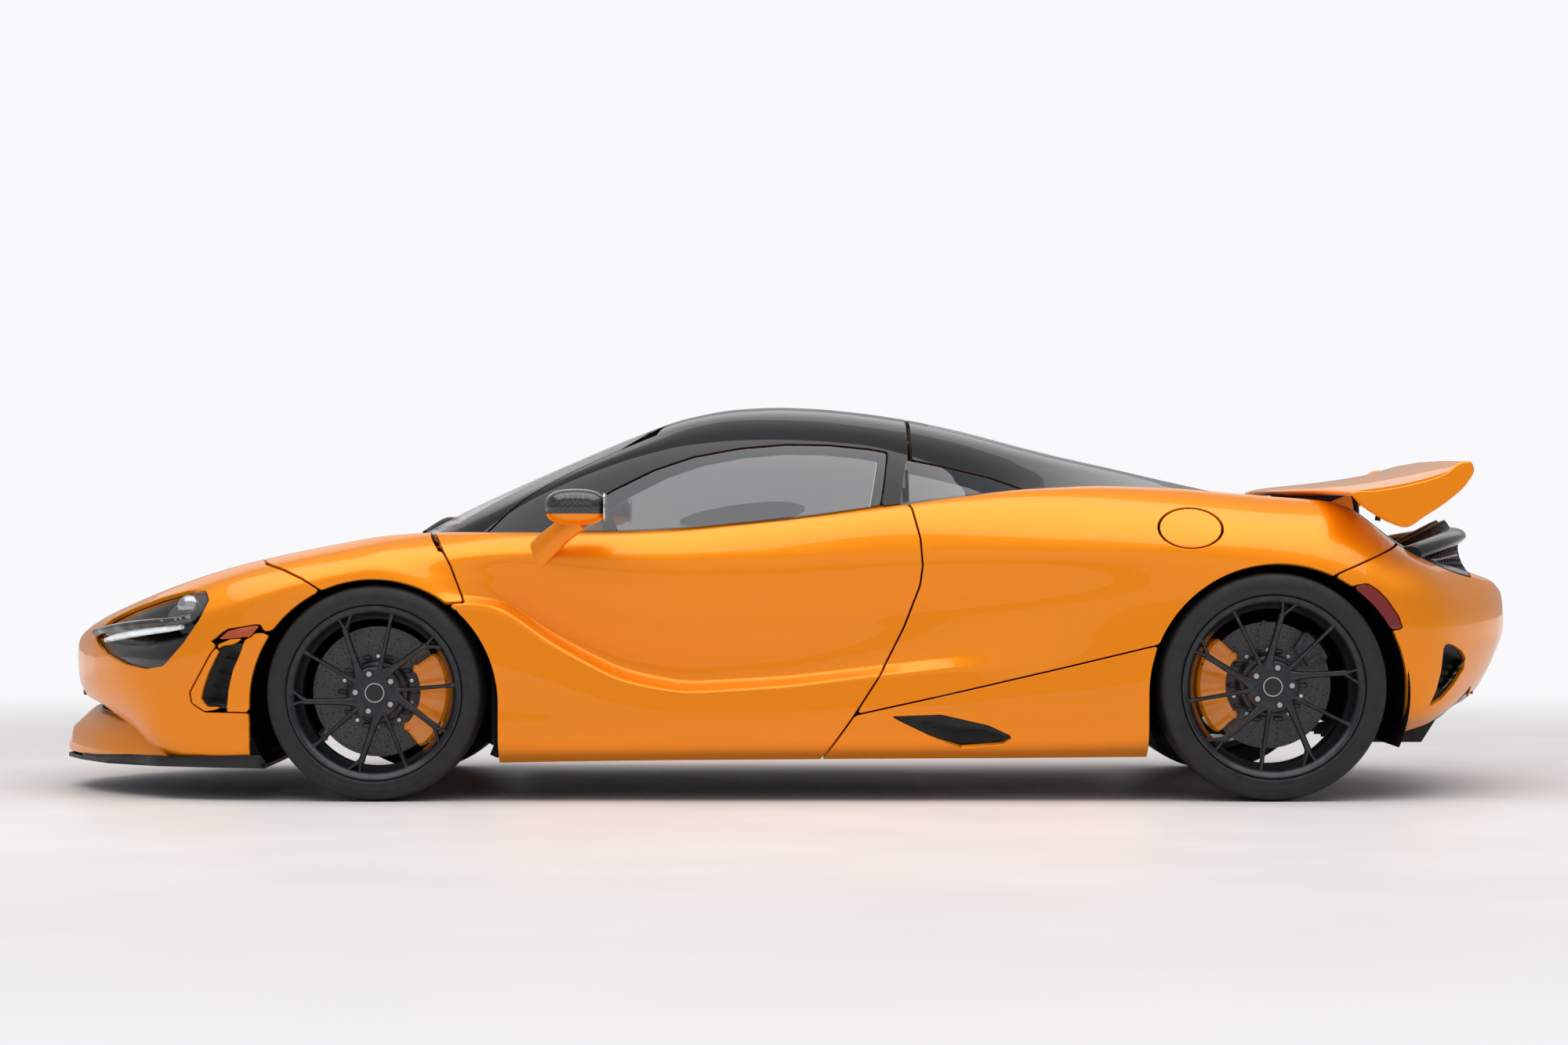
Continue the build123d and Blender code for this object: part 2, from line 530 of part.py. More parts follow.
def hinge_rod(origin, s0, s1, radius):
    """A round bar along the left door's hinge line, between distances s0 and s1 from one of its ends."""
    d = (HINGE_HEAD - HINGE_FOOT).normalized()
    return rod(origin + d * s0, origin + d * s1, radius)


def glass_from(outline_prism, inset=8.0):
    return (canopy_envelope(inset) - canopy_envelope(inset + GLASS)) & outline_prism


def door_frame():
    window = side_prism(SIDE_WINDOW, -1100, -ROOF_HALF)
    frame = (canopy & plan_prism(door_side_plan(PILLAR_GAP, 364), 500, 1400)) - window
    return frame - hinge_rod(HINGE_HEAD, -70, -8, PIVOT_EAR + 2) + (hinge_rod(HINGE_HEAD, -64, 30, PIVOT_R) & canopy_outer)


def roof_frame():
    """Windscreen surround, header and the fixed roof panel between the door tops."""
    room = plan_prism(door_side_plan(-PILLAR_GAP, 500), 500, 1400)
    boss = (hinge_rod(HINGE_HEAD, -66, -12, PIVOT_EAR) & canopy_outer) - hinge_rod(HINGE_HEAD, -80, 0, PIVOT_R + PIVOT_PLAY)
    bore = hinge_rod(HINGE_HEAD, -80, 40, PIVOT_R + PIVOT_PLAY)
    part = canopy - room - mirrored(room) - plan_prism(SCREEN_PLAN, 500, 1400) - bore - mirrored(bore) + boss + mirrored(boss)
    return part & box(-1180, ROOF_REAR, -1000, 1000, 500, 1400)


def rear_canopy():
    windows = side_prism(QUARTER_WINDOW, -1000, 1000)
    body = canopy & box(ROOF_REAR + SEAT_GAP, 1368, -1000, 1000, 500, 1400)
    return body - windows - plan_prism(REAR_GLASS_PLAN, 500, 1400)


# ---- lamps, mirrors, trim ----------------------------------------------------------------------
def mirror_unit():
    """Door mirror: a raked arm and a rounded head."""
    arm = ring_loft([
        [(-792, -868, 712), (-716, -868, 706), (-716, -845, 706), (-792, -845, 712)],
        [(-680, -985, 842), (-600, -985, 838), (-600, -955, 832), (-680, -955, 836)]])
    def oval(y, k):
        cx, cz, rx, rz = -622, 872, 88 * k, 54 * k
        return [(cx + rx * math.cos(math.radians(a)), y, cz + rz * math.sin(math.radians(a))) for a in range(0, 360, 30)]
    head = ring_loft([oval(-1072, 0.45), oval(-1045, 0.85), oval(-1000, 1.0), oval(-940, 0.95), oval(-915, 0.6)])
    return arm + head


def splitter():
    """Black lip under the nose and its side blades."""
    outline = [(-2268, -150), (-2200, -330), (-2080, -560), (-1900, -720), (-1720, -800), (-1560, -850), (-1560, 850), (-1720, 800),
               (-1900, 720), (-2080, 560), (-2200, 330), (-2268, 150)]
    return plan_prism(outline, 92, 103.5)


def lip():
    """Body-colour lower lip of the nose, forward of the bumper's mouth."""
    outline = [(-2284.5, 0), (-2270, -170), (-2200, -350), (-2080, -580), (-1960, -690), (-1960, 690), (-2080, 580), (-2200, 350), (-2270, 170)]
    body = plan_prism(outline, 103.8, 150)
    return body - lower_envelope(-SEAT_GAP, -SEAT_GAP, -SEAT_GAP)


def diffuser():
    outline = [(1700, 150), (1966, 150), (2030, 250), (1960, 262), (1700, 210)]
    fins = None
    for y in (-420, -252, -84, 84, 252, 420):
        fin = side_prism([(1700, 150), (1966, 150), (2030, 250), (2000, 300), (1700, 220)], y - 6, y + 6)
        fins = fin if fins is None else fins + fin
    plate = side_prism([(1700, 212), (1960, 262), (2100, 330), (2100, 322), (1960, 250), (1700, 200)], -560, 560)
    return (plate + fins) - lower_envelope(0.3, -0.3, -0.3)


def rear_grille():
    """Slatted mesh panel under the wing."""
    panel = None
    for k in range(7):
        x = 1905 + k * 36
        z = 742 - k * 16
        slat = box(x, x + 12, -DECK_HALF, DECK_HALF, z - 20, z - 8)
        panel = slat if panel is None else panel + slat
    for y in range(-420, 421, 120):
        bar = side_prism([(1905, 734), (1905, 722), (2133, 620), (2133, 632)], y - 5, y + 5)
        panel = panel + bar
    hole = rod(PIPE_FOOT, PIPE_TIP, PIPE_R + 6)
    return panel - hole - mirrored(hole) - box(1761, 2001, -185, 185, 430, 665) - box(1761, 2118, -134, 134, 400, 900)


def tail_lamps():
    lamp = side_prism([(1700, 856), (1716, 856), (1846, 736), (1830, 730)], -700, -640)
    return lamp + mirrored(lamp)


PIPE_FOOT, PIPE_TIP = Vector(1937, -78, 705), Vector(2112, -78, 795)
PIPE_R = 50.0


def exhaust():
    """Silencer box behind the gearbox with two raised tail pipes."""
    along = (PIPE_TIP - PIPE_FOOT).normalized()
    pipe = rod(PIPE_FOOT, PIPE_TIP, PIPE_R) - rod(PIPE_FOOT + along * 60, PIPE_TIP + along * 10, PIPE_R - 5)
    return box(1700, 2000, -180, 180, 430 + SEAT_GAP, 660) + pipe + mirrored(pipe)


def seats():
    base = FLOOR_TOP + SEAT_GAP
    seat = side_prism([(-190, base), (-190, 300), (-150, 330), (150, 300), (300, 860), (360, 850), (362, 240), (250, base)], -600, -130)
    return seat + mirrored(seat)


def dashboard():
    """Dash panel on the cowl, with the steering column."""
    outline = [(-1078, 641), (-1078, 730), (-900, 778), (-720, 784), (-650, 750), (-660, 680), (-760, 641)]
    panel = side_prism([(x, max(z, COWL_TOP + SEAT_GAP)) if z > 641 else (x, COWL_TOP + SEAT_GAP) for x, z in outline], -590, 590)
    return panel + rod(WHEEL_CENTRE - COLUMN_AXIS * 170, WHEEL_CENTRE - COLUMN_AXIS * (26 + SEAT_GAP), 22)


WHEEL_CENTRE = Vector(-520, -360, 742)
COLUMN_AXIS = Vector(0.927, 0, 0.375)


def steering_wheel():
    """Rim, hub and three spokes, square to the column."""
    across, up = Vector(0, 1, 0), Vector(-COLUMN_AXIS.Z, 0, COLUMN_AXIS.X)
    turns = [math.radians(36 * k) for k in range(10)]
    section = [WHEEL_CENTRE + across * (172 + 15 * math.cos(t)) + COLUMN_AXIS * (15 * math.sin(t)) for t in turns]
    ring = part_of(Solid.revolve(Face(Wire.make_polygon(section, close=True)), 360, Axis(WHEEL_CENTRE, COLUMN_AXIS)))
    body = ring + rod(WHEEL_CENTRE - COLUMN_AXIS * 26, WHEEL_CENTRE + COLUMN_AXIS * 4, 46)
    for tip in (WHEEL_CENTRE + across * 166, WHEEL_CENTRE - across * 166, WHEEL_CENTRE - up * 166):
        body = body + rod(WHEEL_CENTRE - COLUMN_AXIS * 8, tip, 11)
    return body


FLAP_CENTRE = Vector(1205, -839.5, 812)
FLAP_RX, FLAP_RZ = 96.0, 64.0
FLAP_GAP = 4.0
FLAP_T = 12.0
FLAP_PIN_R = 2.5
FLAP_PIN_HALF = 44.0
FLAP_POCKET_R = 14.0
FLAP_POCKET_HALF = 35.0
FLAP_UP = Vector(0, 0.524, 0.852)          # along the haunch's slope
FLAP_OUT = Vector(0, -0.852, 0.524)        # square to it, outwards
FLAP_AXIS = FLAP_CENTRE + Vector(5 - FLAP_RX, 0, 0) - FLAP_OUT * (FLAP_T / 2)


def flap_prism(play):
    """The flap's oval, grown by play and carried along the haunch's normal."""
    ring = []
    for a in range(0, 360, 20):
        along = Vector((FLAP_RX + play) * math.cos(math.radians(a)), 0, 0)
        ring.append(FLAP_CENTRE - FLAP_OUT * 90 + along + FLAP_UP * ((FLAP_RZ + play) * math.sin(math.radians(a))))
    return part_of(Solid.extrude(Face(Wire.make_polygon(ring, close=True)), FLAP_OUT * 150))


def flap_rod(radius, half_length=FLAP_PIN_HALF):
    return rod(FLAP_AXIS - FLAP_UP * half_length, FLAP_AXIS + FLAP_UP * half_length, radius)


def fuel_flap():
    """Flap with the bore for its hinge pin along the front edge, on the left haunch."""
    return ((outer - lower_envelope(FLAP_T, FLAP_T, 0)) & flap_prism(0)) - flap_rod(FLAP_PIN_R + PIVOT_PLAY)


BIN_X0, BIN_X1, BIN_Z0, BIN_Z1 = -1780.0, -1232.0, 290.0, 560.0
BIN_WALL = 6.0


def luggage_bin():
    half = RAIL_INNER - SEAT_GAP
    cavity = box(BIN_X0 + BIN_WALL, BIN_X1 - BIN_WALL, -half + BIN_WALL, half - BIN_WALL, BIN_Z0 + BIN_WALL, BIN_Z1 + 40)
    return box(BIN_X0, BIN_X1, -half, half, BIN_Z0, BIN_Z1) - cavity


# ---- the nodes ---------------------------------------------------------------------------------
def both_sides(shape):
    return Compound(children=[*shape.solids(), *mirrored(shape).solids()])


front_pin_y = -FRONT_TRACK / 2 + STEER_INSET
rear_pin_y = -REAR_TRACK / 2 + 109
left = {
    "tyre_front_left": tyre(FRONT_WHEEL),
    "rim_front_left": Compound(children=[*rim(FRONT_WHEEL).solids(), *disc(FRONT_WHEEL).solids()]),
    "caliper_front_left": caliper(FRONT_WHEEL, -8),
    "knuckle_front_left": knuckle(FRONT_WHEEL, -8, front_pin_y),
    "tyre_rear_left": tyre(REAR_WHEEL),
    "rim_rear_left": Compound(children=[*rim(REAR_WHEEL).solids(), *disc(REAR_WHEEL).solids()]),
    "door_left": door_skin(shell),
    "door_frame_left": door_frame(),
    "side_window_left": glass_from(side_prism(SIDE_WINDOW, -1000, -380)),
    "mirror_left": mirror_unit() - lower_envelope(-SEAT_GAP, -SEAT_GAP, 0),
}
nodes = dict(left)
for name, shape in left.items():
    nodes[name.replace("_left", "_right")] = mirrored(shape)

lamps = tail_lamps()
plain_quarter = quarter(shell) - lamps
filler_quarter = plain_quarter - flap_prism(FLAP_GAP) - flap_rod(FLAP_POCKET_R, FLAP_POCKET_HALF) + flap_rod(FLAP_PIN_R)
nodes["quarters"] = Compound(children=[*filler_quarter.solids(), *mirrored(plain_quarter).solids()])
nodes["fuel_flap"] = fuel_flap()
nodes["fenders"] = both_sides(fender(shell))
nodes["headlamps"] = both_sides(headlamp())
nodes["front_bumper"] = Compound(children=[*front_bumper(shell).solids(), *lip().solids()])
nodes["luggage_lid"] = luggage_lid()
nodes["luggage_bin"] = luggage_bin()
nodes["rear_bumper"] = rear_bumper(shell) - lamps
nodes["rear_deck"] = rear_deck()
nodes["rear_wing"] = wing_blade()
nodes["wing_arms"] = wing_arms() - wing_blade()
nodes["wing_brackets"] = wing_brackets()
nodes["roof_frame"] = roof_frame()
nodes["windscreen"] = glass_from(plan_prism(SCREEN_PLAN, 600, 1400))
nodes["rear_canopy"] = rear_canopy()
nodes["rear_glass"] = glass_from(plan_prism(REAR_GLASS_PLAN, 600, 1400))
nodes["quarter_windows"] = both_sides(glass_from(side_prism(QUARTER_WINDOW, -1000, -380)))
nodes["splitter"] = splitter()
nodes["diffuser"] = diffuser()
nodes["rear_grille"] = rear_grille()
nodes["tail_lamps"] = lamps
nodes["exhaust"] = exhaust()
nodes["seats"] = seats()
nodes["dashboard"] = dashboard()
nodes["steering_wheel"] = steering_wheel()
nodes["calipers_rear"] = both_sides(caliper(REAR_WHEEL, 180))
nodes["knuckles_rear"] = both_sides(knuckle(REAR_WHEEL, 180, rear_pin_y))
nodes["tub"] = tub() + lid_pins()
arms = wishbones(FRONT_WHEEL, 380, 130, front_pin_y) + wishbones(REAR_WHEEL, 380, 130, rear_pin_y)
nodes["wishbones"] = both_sides(arms - nodes["tub"])
nodes["drive_shafts"] = both_sides(drive_shafts())
nodes["engine_block"] = engine_block()
for name, shape in nodes.items():
    save(shape, name)
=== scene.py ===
"""Supercar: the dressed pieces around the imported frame, laid out as a Blender add-on and run as a script.

Lengths in the tables are millimetres in the frame's axes: nose towards -X, the car's left side is -Y, +Z up.
Body skins are one surface, worked out on a grid and cut along the real shut lines.
"""

import math

import bmesh
import bpy
import numpy as np
from bpy.props import FloatProperty, FloatVectorProperty, PointerProperty
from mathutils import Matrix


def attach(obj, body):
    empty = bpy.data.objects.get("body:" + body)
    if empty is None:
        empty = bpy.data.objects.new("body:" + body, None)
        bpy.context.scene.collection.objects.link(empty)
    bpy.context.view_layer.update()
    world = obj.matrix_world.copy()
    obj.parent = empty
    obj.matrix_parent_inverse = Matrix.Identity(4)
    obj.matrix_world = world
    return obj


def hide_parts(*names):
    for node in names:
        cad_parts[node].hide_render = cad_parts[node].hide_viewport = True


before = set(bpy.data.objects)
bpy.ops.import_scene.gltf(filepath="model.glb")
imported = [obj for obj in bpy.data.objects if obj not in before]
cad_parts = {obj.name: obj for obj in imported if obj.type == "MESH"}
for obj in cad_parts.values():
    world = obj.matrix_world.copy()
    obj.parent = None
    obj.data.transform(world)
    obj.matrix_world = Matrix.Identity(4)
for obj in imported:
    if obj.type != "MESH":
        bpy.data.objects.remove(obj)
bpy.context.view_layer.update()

bl_info = {
    "name": "Supercar dressing",
    "version": (1, 0, 0),
    "blender": (4, 5, 0),
    "location": "3D View > Sidebar > Supercar",
    "description": "Builds the visible pieces and finishes of a mid-engined two-seat car on its frame",
    "category": "Object",
}

MM = 0.001

# ---- driving sizes, in millimetres ---------------------------------------------------------------
# Each wheel: centre, radii of tyre, bead seat, rim flange and brake disc, its arch as (x, z, radius), the
# first spoke's angle, the caliper's two angles, and the arch liner's inner end and how far it stands off.
WHEELS = {
    "front": dict(x=-1223.5, y=840.0, radius=322.0, width=245.0, seat=241.3, flange=259.0, disc_r=195.0,
                  arch=(-1226.0, 290.0, 368.0), spoke=38.5, caliper=(-52.0, 34.0), liner=(508.0, 28.0)),
    "rear": dict(x=1446.5, y=812.0, radius=340.0, width=305.0, seat=254.0, flange=271.0, disc_r=190.0,
                 arch=(1464.0, 319.0, 385.0), spoke=6.5, caliper=(137.0, 223.0), liner=(590.0, 6.0)),
}
SEAM = 4.5                 # shut line between panels
EDGE_R = 2.2               # rolled edge of a panel
SKIN = 12.0                # depth of a panel's rolled edge
WELD = 0.03                # points nearer than this are one
FAR = 9999.0               # beyond the car in every direction

# Lower body half sections, nose to tail. Columns: x, then (y, z) of floor, sill, blade, crease, hollow, face,
# shoulder, crest and inner, then z on the centreline.
BODY = np.array([
    (-2249, 0, 424, 1, 425, 2, 427, 3, 430, 3, 432, 3, 434, 2, 436, 1, 438, 1, 439, 440),
    (-2240, 0, 346, 105, 360, 136, 380, 148, 402, 150, 420, 143, 440, 122, 456, 90, 465, 45, 469, 470),
    (-2212, 0, 288, 225, 308, 282, 338, 304, 374, 308, 404, 298, 440, 265, 466, 205, 482, 105, 488, 489),
    (-2170, 0, 250, 335, 270, 415, 306, 450, 354, 456, 396, 444, 444, 402, 482, 322, 504, 170, 512, 514),
    (-2110, 60, 236, 470, 256, 568, 302, 606, 362, 612, 412, 598, 464, 546, 508, 444, 532, 240, 544, 548),
    (-1995, 430, 216, 655, 226, 752, 300, 784, 378, 787, 440, 768, 502, 708, 548, 600, 574, 330, 592, 600),
    (-1890, 650, 120, 812, 142, 858, 250, 868, 366, 866, 446, 842, 524, 782, 582, 684, 614, 390, 624, 630),
    (-1760, 740, 106, 880, 130, 906, 260, 912, 390, 909, 480, 888, 560, 832, 622, 735, 660, 430, 650, 652),
    (-1620, 790, 105, 912, 132, 934, 270, 940, 420, 937, 520, 918, 604, 866, 664, 752, 704, 450, 674, 676),
    (-1450, 820, 105, 930, 140, 952, 300, 956, 480, 954, 584, 938, 654, 886, 704, 765, 742, 480, 702, 696),
    (-1223, 850, 105, 938, 150, 958, 330, 963, 540, 962, 640, 944, 704, 896, 744, 785, 785, 510, 738, 716),
    (-1050, 870, 107, 942, 150, 962, 320, 964, 574, 950, 622, 926, 672, 900, 726, 800, 792, 560, 768, 756),
    (-950, 878, 110, 945, 152, 963, 310, 963, 586, 922, 606, 906, 668, 892, 730, 822, 789, 620, 778, 778),
    (-845, 882, 112, 947, 154, 964, 300, 962, 582, 884, 600, 888, 664, 890, 732, 840, 787, 660, 784, 786),
    (-705, 886, 115, 949, 156, 965, 290, 963, 474, 874, 496, 884, 610, 892, 734, 850, 787, 690, 788, 792),
    (-495, 888, 118, 951, 158, 966, 250, 964, 360, 886, 388, 893, 540, 899, 736, 855, 791, 710, 796, 800),
    (-309, 889, 120, 951, 160, 967, 240, 964, 324, 898, 348, 902, 520, 906, 738, 857, 799, 715, 806, 810),
    (0, 889, 122, 952, 162, 967, 240, 963, 342, 912, 366, 912, 530, 916, 738, 855, 831, 700, 838, 840),
    (268, 888, 124, 952, 164, 966, 250, 961, 374, 926, 398, 914, 545, 925, 738, 850, 866, 690, 868, 872),
    (480, 887, 125, 951, 166, 965, 256, 958, 392, 938, 430, 920, 560, 932, 740, 838, 893, 640, 892, 896),
    (700, 886, 126, 951, 168, 965, 260, 960, 400, 949, 462, 934, 580, 940, 744, 812, 917, 590, 912, 916),
    (938, 884, 128, 950, 172, 966, 270, 965, 420, 960, 500, 952, 610, 944, 752, 782, 928, 530, 924, 928),
    (1200, 876, 130, 948, 180, 967, 290, 969, 450, 968, 540, 962, 640, 936, 762, 758, 921, 480, 908, 908),
    (1446, 860, 138, 944, 196, 965, 320, 969, 480, 968, 570, 960, 664, 922, 772, 744, 904, 450, 838, 836),
    (1600, 836, 152, 930, 214, 955, 330, 963, 480, 961, 570, 950, 660, 908, 764, 738, 894, 440, 812, 806),
    (1702, 812, 166, 908, 226, 938, 336, 950, 480, 949, 560, 938, 644, 894, 744, 735, 882, 436, 794, 790),
    (1851, 764, 196, 864, 250, 900, 350, 918, 470, 918, 545, 906, 616, 858, 690, 732, 752, 420, 764, 764),
    (1930, 720, 214, 826, 264, 868, 360, 890, 470, 890, 540, 876, 604, 826, 666, 708, 716, 402, 740, 746),
    (1990, 650, 236, 756, 284, 806, 370, 836, 470, 838, 535, 820, 592, 770, 640, 676, 688, 390, 720, 726),
    (2050, 550, 258, 650, 302, 704, 380, 742, 470, 746, 530, 730, 584, 690, 626, 640, 666, 372, 694, 700),
    (2110, 0, 276, 540, 330, 604, 398, 646, 474, 652, 526, 640, 574, 610, 612, 560, 652, 350, 668, 672),
    (2160, 0, 306, 430, 360, 500, 418, 548, 480, 556, 522, 550, 566, 530, 604, 486, 644, 310, 662, 664),
    (2200, 0, 340, 330, 392, 408, 440, 460, 486, 470, 518, 466, 560, 450, 594, 412, 632, 260, 652, 654),
    (2235, 0, 388, 220, 428, 292, 460, 340, 494, 350, 518, 346, 550, 334, 580, 304, 612, 200, 630, 633),
    (2258, 0, 440, 130, 462, 176, 480, 206, 502, 212, 518, 208, 540, 200, 562, 180, 590, 118, 602, 605),
    (2272, 0, 512, 1, 513, 2, 515, 3, 518, 3, 520, 3, 522, 2, 525, 1, 528, 1, 530, 532),
], float)
COLUMNS = ("floor", "sill", "blade", "crease", "hollow", "face", "shoulder", "crest", "inner", "mid")
CREASE, HOLLOW = COLUMNS.index("crease"), COLUMNS.index("hollow")
SAMPLES = (5, 8, 12, 5, 12, 14, 12, 22, 20)       # grid steps between neighbouring columns
CREST = sum(SAMPLES[:COLUMNS.index("crest")])     # the crest's column in the grid
GRID_STEP = 9.0                                   # between stations along the car
BODY_ENDS, BODY_AVERAGE = (-2236.0, 2264.0), 42.0
NOSE_X = (-2249.5, -2248, -2246, -2243, -2240)    # close stations that round off the tip of the nose
TAIL_X = (2266, 2268, 2270, 2271.5)               # and of the tail
END_FADE = 160.0                                  # length over which the averaging stops towards both ends

# Crease strength along the car, x and share, for the blade's crease and the hollow's foot.
CREASE_FADE = ((-1060, 0.0), (-960, 1.0), (500, 1.0), (760, 0.0))

# Greenhouse half sections. Columns: x, then (y, z) of foot, waist, rail, brow and shoulder, then z on the
# centreline.
CANOPY = np.array([
    (-1190, 470, 716, 450, 730, 420, 744, 380, 756, 240, 772, 782),
    (-1085, 640, 760, 620, 772, 590, 784, 520, 800, 300, 820, 828),
    (-1010, 712, 776, 690, 790, 660, 806, 570, 834, 320, 858, 866),
    (-935, 762, 780, 738, 800, 702, 826, 600, 866, 330, 894, 902),
    (-860, 800, 780, 770, 814, 720, 858, 605, 900, 335, 928, 936),
    (-784, 826, 780, 786, 834, 718, 902, 598, 936, 335, 962, 970),
    (-634, 846, 780, 794, 866, 690, 976, 575, 1006, 325, 1028, 1036),
    (-483, 854, 784, 796, 890, 662, 1036, 555, 1068, 318, 1092, 1100),
    (-333, 856, 790, 798, 912, 640, 1078, 540, 1120, 312, 1148, 1158),
    (-182, 856, 804, 800, 930, 630, 1100, 532, 1144, 308, 1178, 1189),
    (-30, 854, 822, 800, 944, 626, 1110, 530, 1150, 306, 1186, 1198),
    (119, 852, 842, 798, 950, 624, 1108, 530, 1146, 306, 1180, 1192),
    (270, 848, 862, 790, 952, 622, 1096, 528, 1132, 304, 1164, 1175),
    (420, 838, 884, 770, 950, 610, 1068, 520, 1106, 300, 1140, 1150),
    (571, 822, 902, 745, 950, 596, 1036, 506, 1072, 292, 1106, 1117),
    (721, 796, 914, 716, 946, 578, 1002, 488, 1034, 282, 1065, 1077),
    (872, 764, 920, 686, 942, 560, 976, 466, 1000, 270, 1028, 1040),
    (1023, 728, 920, 652, 934, 534, 956, 440, 972, 256, 996, 1006),
    (1173, 684, 914, 610, 920, 498, 930, 408, 942, 238, 962, 970),
    (1323, 620, 896, 552, 900, 452, 906, 372, 914, 218, 930, 936),
    (1400, 560, 880, 500, 884, 420, 890, 344, 898, 204, 914, 920),
], float)
CANOPY_SAMPLES = (8, 16, 10, 16, 20)
CANOPY_ENDS, CANOPY_AVERAGE = (-1190, 1400), 40.0

# Shut lines in side view, (x, z), left side
DOOR_FRONT = ((-1075, 820), (-1046, 782), (-1000, 700), (-957, 592))
DOOR_REAR = ((376, 872), (400, 780), (406, 700), (398, 640), (350, 516), (276, 371), (196, 247), (117, 137),
             (60, 60))
DOOR = (DOOR_FRONT + ((-1050, 587), (-1120, 575), (-1200, 540), (-1200, 40)) + tuple(reversed(DOOR_REAR))
        + ((300, 960), (-1075, 960)))
# Room ahead of the door's upper front corner, which swings forwards as the door goes up
DOOR_CORNER = ((-1085, 850), (-1064, 788), (-1036, 745), (-990, 745), (-990, 850))
BUMPER_REAR = ((-1680, 800), (-1560, 706), (-1500, 688), (-1440, 662), (-1398, 636))
SKIRT_SEAM = ((203, 257), (480, 318), (800, 392), (1110, 466))
TAIL_SEAM = ((1626, 590), (1637, 675), (1740, 718), (1825, 754), (1900, 790))
LAMP = ((-2118, 480), (-2060, 530), (-1980, 566), (-1880, 600), (-1790, 622), (-1738, 622), (-1726, 598),
        (-1752, 540), (-1800, 470), (-1862, 402), (-1920, 392), (-1990, 404), (-2070, 436))
LENS = ((-1858, 512), (-1850, 560), (-1812, 602), (-1768, 622), (-1738, 622), (-1727, 600), (-1744, 560),
        (-1766, 536), (-1846, 508))
SIDE_VENT = ((-1674, 462), (-1614, 463), (-1628, 430), (-1646, 390), (-1660, 330), (-1664, 280), (-1724, 281),
             (-1741, 303), (-1734, 335), (-1716, 385), (-1696, 425))
VENT_PANEL = ((-1540, 504), (-1640, 494), (-1684, 474), (-1714, 436), (-1777, 322), (-1771, 290),
              (-1732, 265), (-1590, 263), (-1480, 263), (-1480, 504))
MARKER = ((-1712, 478), (-1660, 510), (-1560, 526), (-1590, 487))
REAR_MARKER = ((1690, 640), (1728, 646), (1758, 628), (1786, 600), (1822, 548), (1834, 512), (1780, 508),
               (1735, 560), (1690, 600))
REAR_SLOT = ((1972, 456), (1984, 463), (2004, 458), (2036, 440), (2052, 420), (2050, 385), (2016, 342),
             (1975, 303), (1932, 280), (1952, 322), (1966, 380))
REAR_INTAKE = ((318, 251), (460, 256), (600, 224), (668, 192), (640, 172), (520, 160), (430, 196))


# ---- numeric helpers ------------------------------------------------------------------------------
def smoothed(values, step, sigma):
    """Gaussian average along the first axis: each row becomes the mean of its neighbours, weighted by
    exp(-(distance / sigma)^2 / 2), with the ends continued in a straight line."""
    reach = int(3 * sigma / step) + 1
    taps = np.exp(-0.5 * (np.arange(-reach, reach + 1) * step / sigma) ** 2)
    taps /= taps.sum()
    flat = values.reshape(len(values), -1)
    ahead = 2 * flat[:1] - flat[reach:0:-1]
    behind = 2 * flat[-1:] - flat[-2:-reach - 2:-1]
    long = np.vstack([ahead, flat, behind])
    out = np.stack([np.convolve(column, taps, "valid") for column in long.T], axis=1)
    return out.reshape(values.shape)


def hermite(points, counts, sharp):
    """Curves through point rows, points[:, k] being the k-th knot of every curve. Each span is the cubic
    with the knots' chord-weighted tangents; sharp[:, k] from 0 to 1 turns knot k into a corner."""
    chords = np.linalg.norm(np.diff(points, axis=1), axis=2)[..., None] + 1e-6
    slopes = np.diff(points, axis=1) / chords
    before, after = chords[:, :-1], chords[:, 1:]
    middle = (slopes[:, :-1] * after + slopes[:, 1:] * before) / (after + before)
    tangents = np.concatenate([slopes[:, :1], middle, slopes[:, -1:]], axis=1)
    rows = []
    for k, count in enumerate(counts):
        keep_a, keep_b = sharp[:, k, None], sharp[:, k + 1, None]
        lead = (tangents[:, k] * (1 - keep_a) + slopes[:, k] * keep_a) * chords[:, k]
        trail = (tangents[:, k + 1] * (1 - keep_b) + slopes[:, k] * keep_b) * chords[:, k]
        last = k == len(counts) - 1
        t = np.linspace(0, 1, count + 1)[None, :, None]
        t = t if last else t[:, :-1]
        a, b = points[:, k, None], points[:, k + 1, None]
        rows.append((2 * t**3 - 3 * t**2 + 1) * a + (t**3 - 2 * t**2 + t) * lead[:, None]
                    + (3 * t**2 - 2 * t**3) * b + (t**3 - t**2) * trail[:, None])
    return np.concatenate(rows, axis=1)


def curve_through(points, per_span=12, closed=False):
    """Points along the smooth curve through a few knots."""
    knots = np.array(points, float)
    if closed:
        knots = np.vstack([knots[-2:], knots, knots[:3]])
    line = hermite(knots[None], [per_span] * (len(knots) - 1), np.zeros((1, len(knots))))[0]
    return line[2 * per_span:-2 * per_span - 1] if closed else line


def outline_distance(px, pz, outline):
    """Signed distance from grid points to a closed outline, negative inside."""
    corners = np.array(outline, float)
    best = np.full(px.shape, 1e18)
    inside = np.zeros(px.shape, bool)
    for (ax, az), (bx, bz) in zip(corners, np.roll(corners, -1, axis=0)):
        ex, ez = bx - ax, bz - az
        t = np.clip(((px - ax) * ex + (pz - az) * ez) / (ex * ex + ez * ez + 1e-12), 0, 1)
        best = np.minimum(best, (px - ax - t * ex) ** 2 + (pz - az - t * ez) ** 2)
        crosses = (az > pz) != (bz > pz)
        where = ax + (pz - az) * ex / (ez if abs(ez) > 1e-12 else 1e-12)
        inside ^= crosses & (px < where)
    return np.where(inside, -1, 1) * np.sqrt(best)


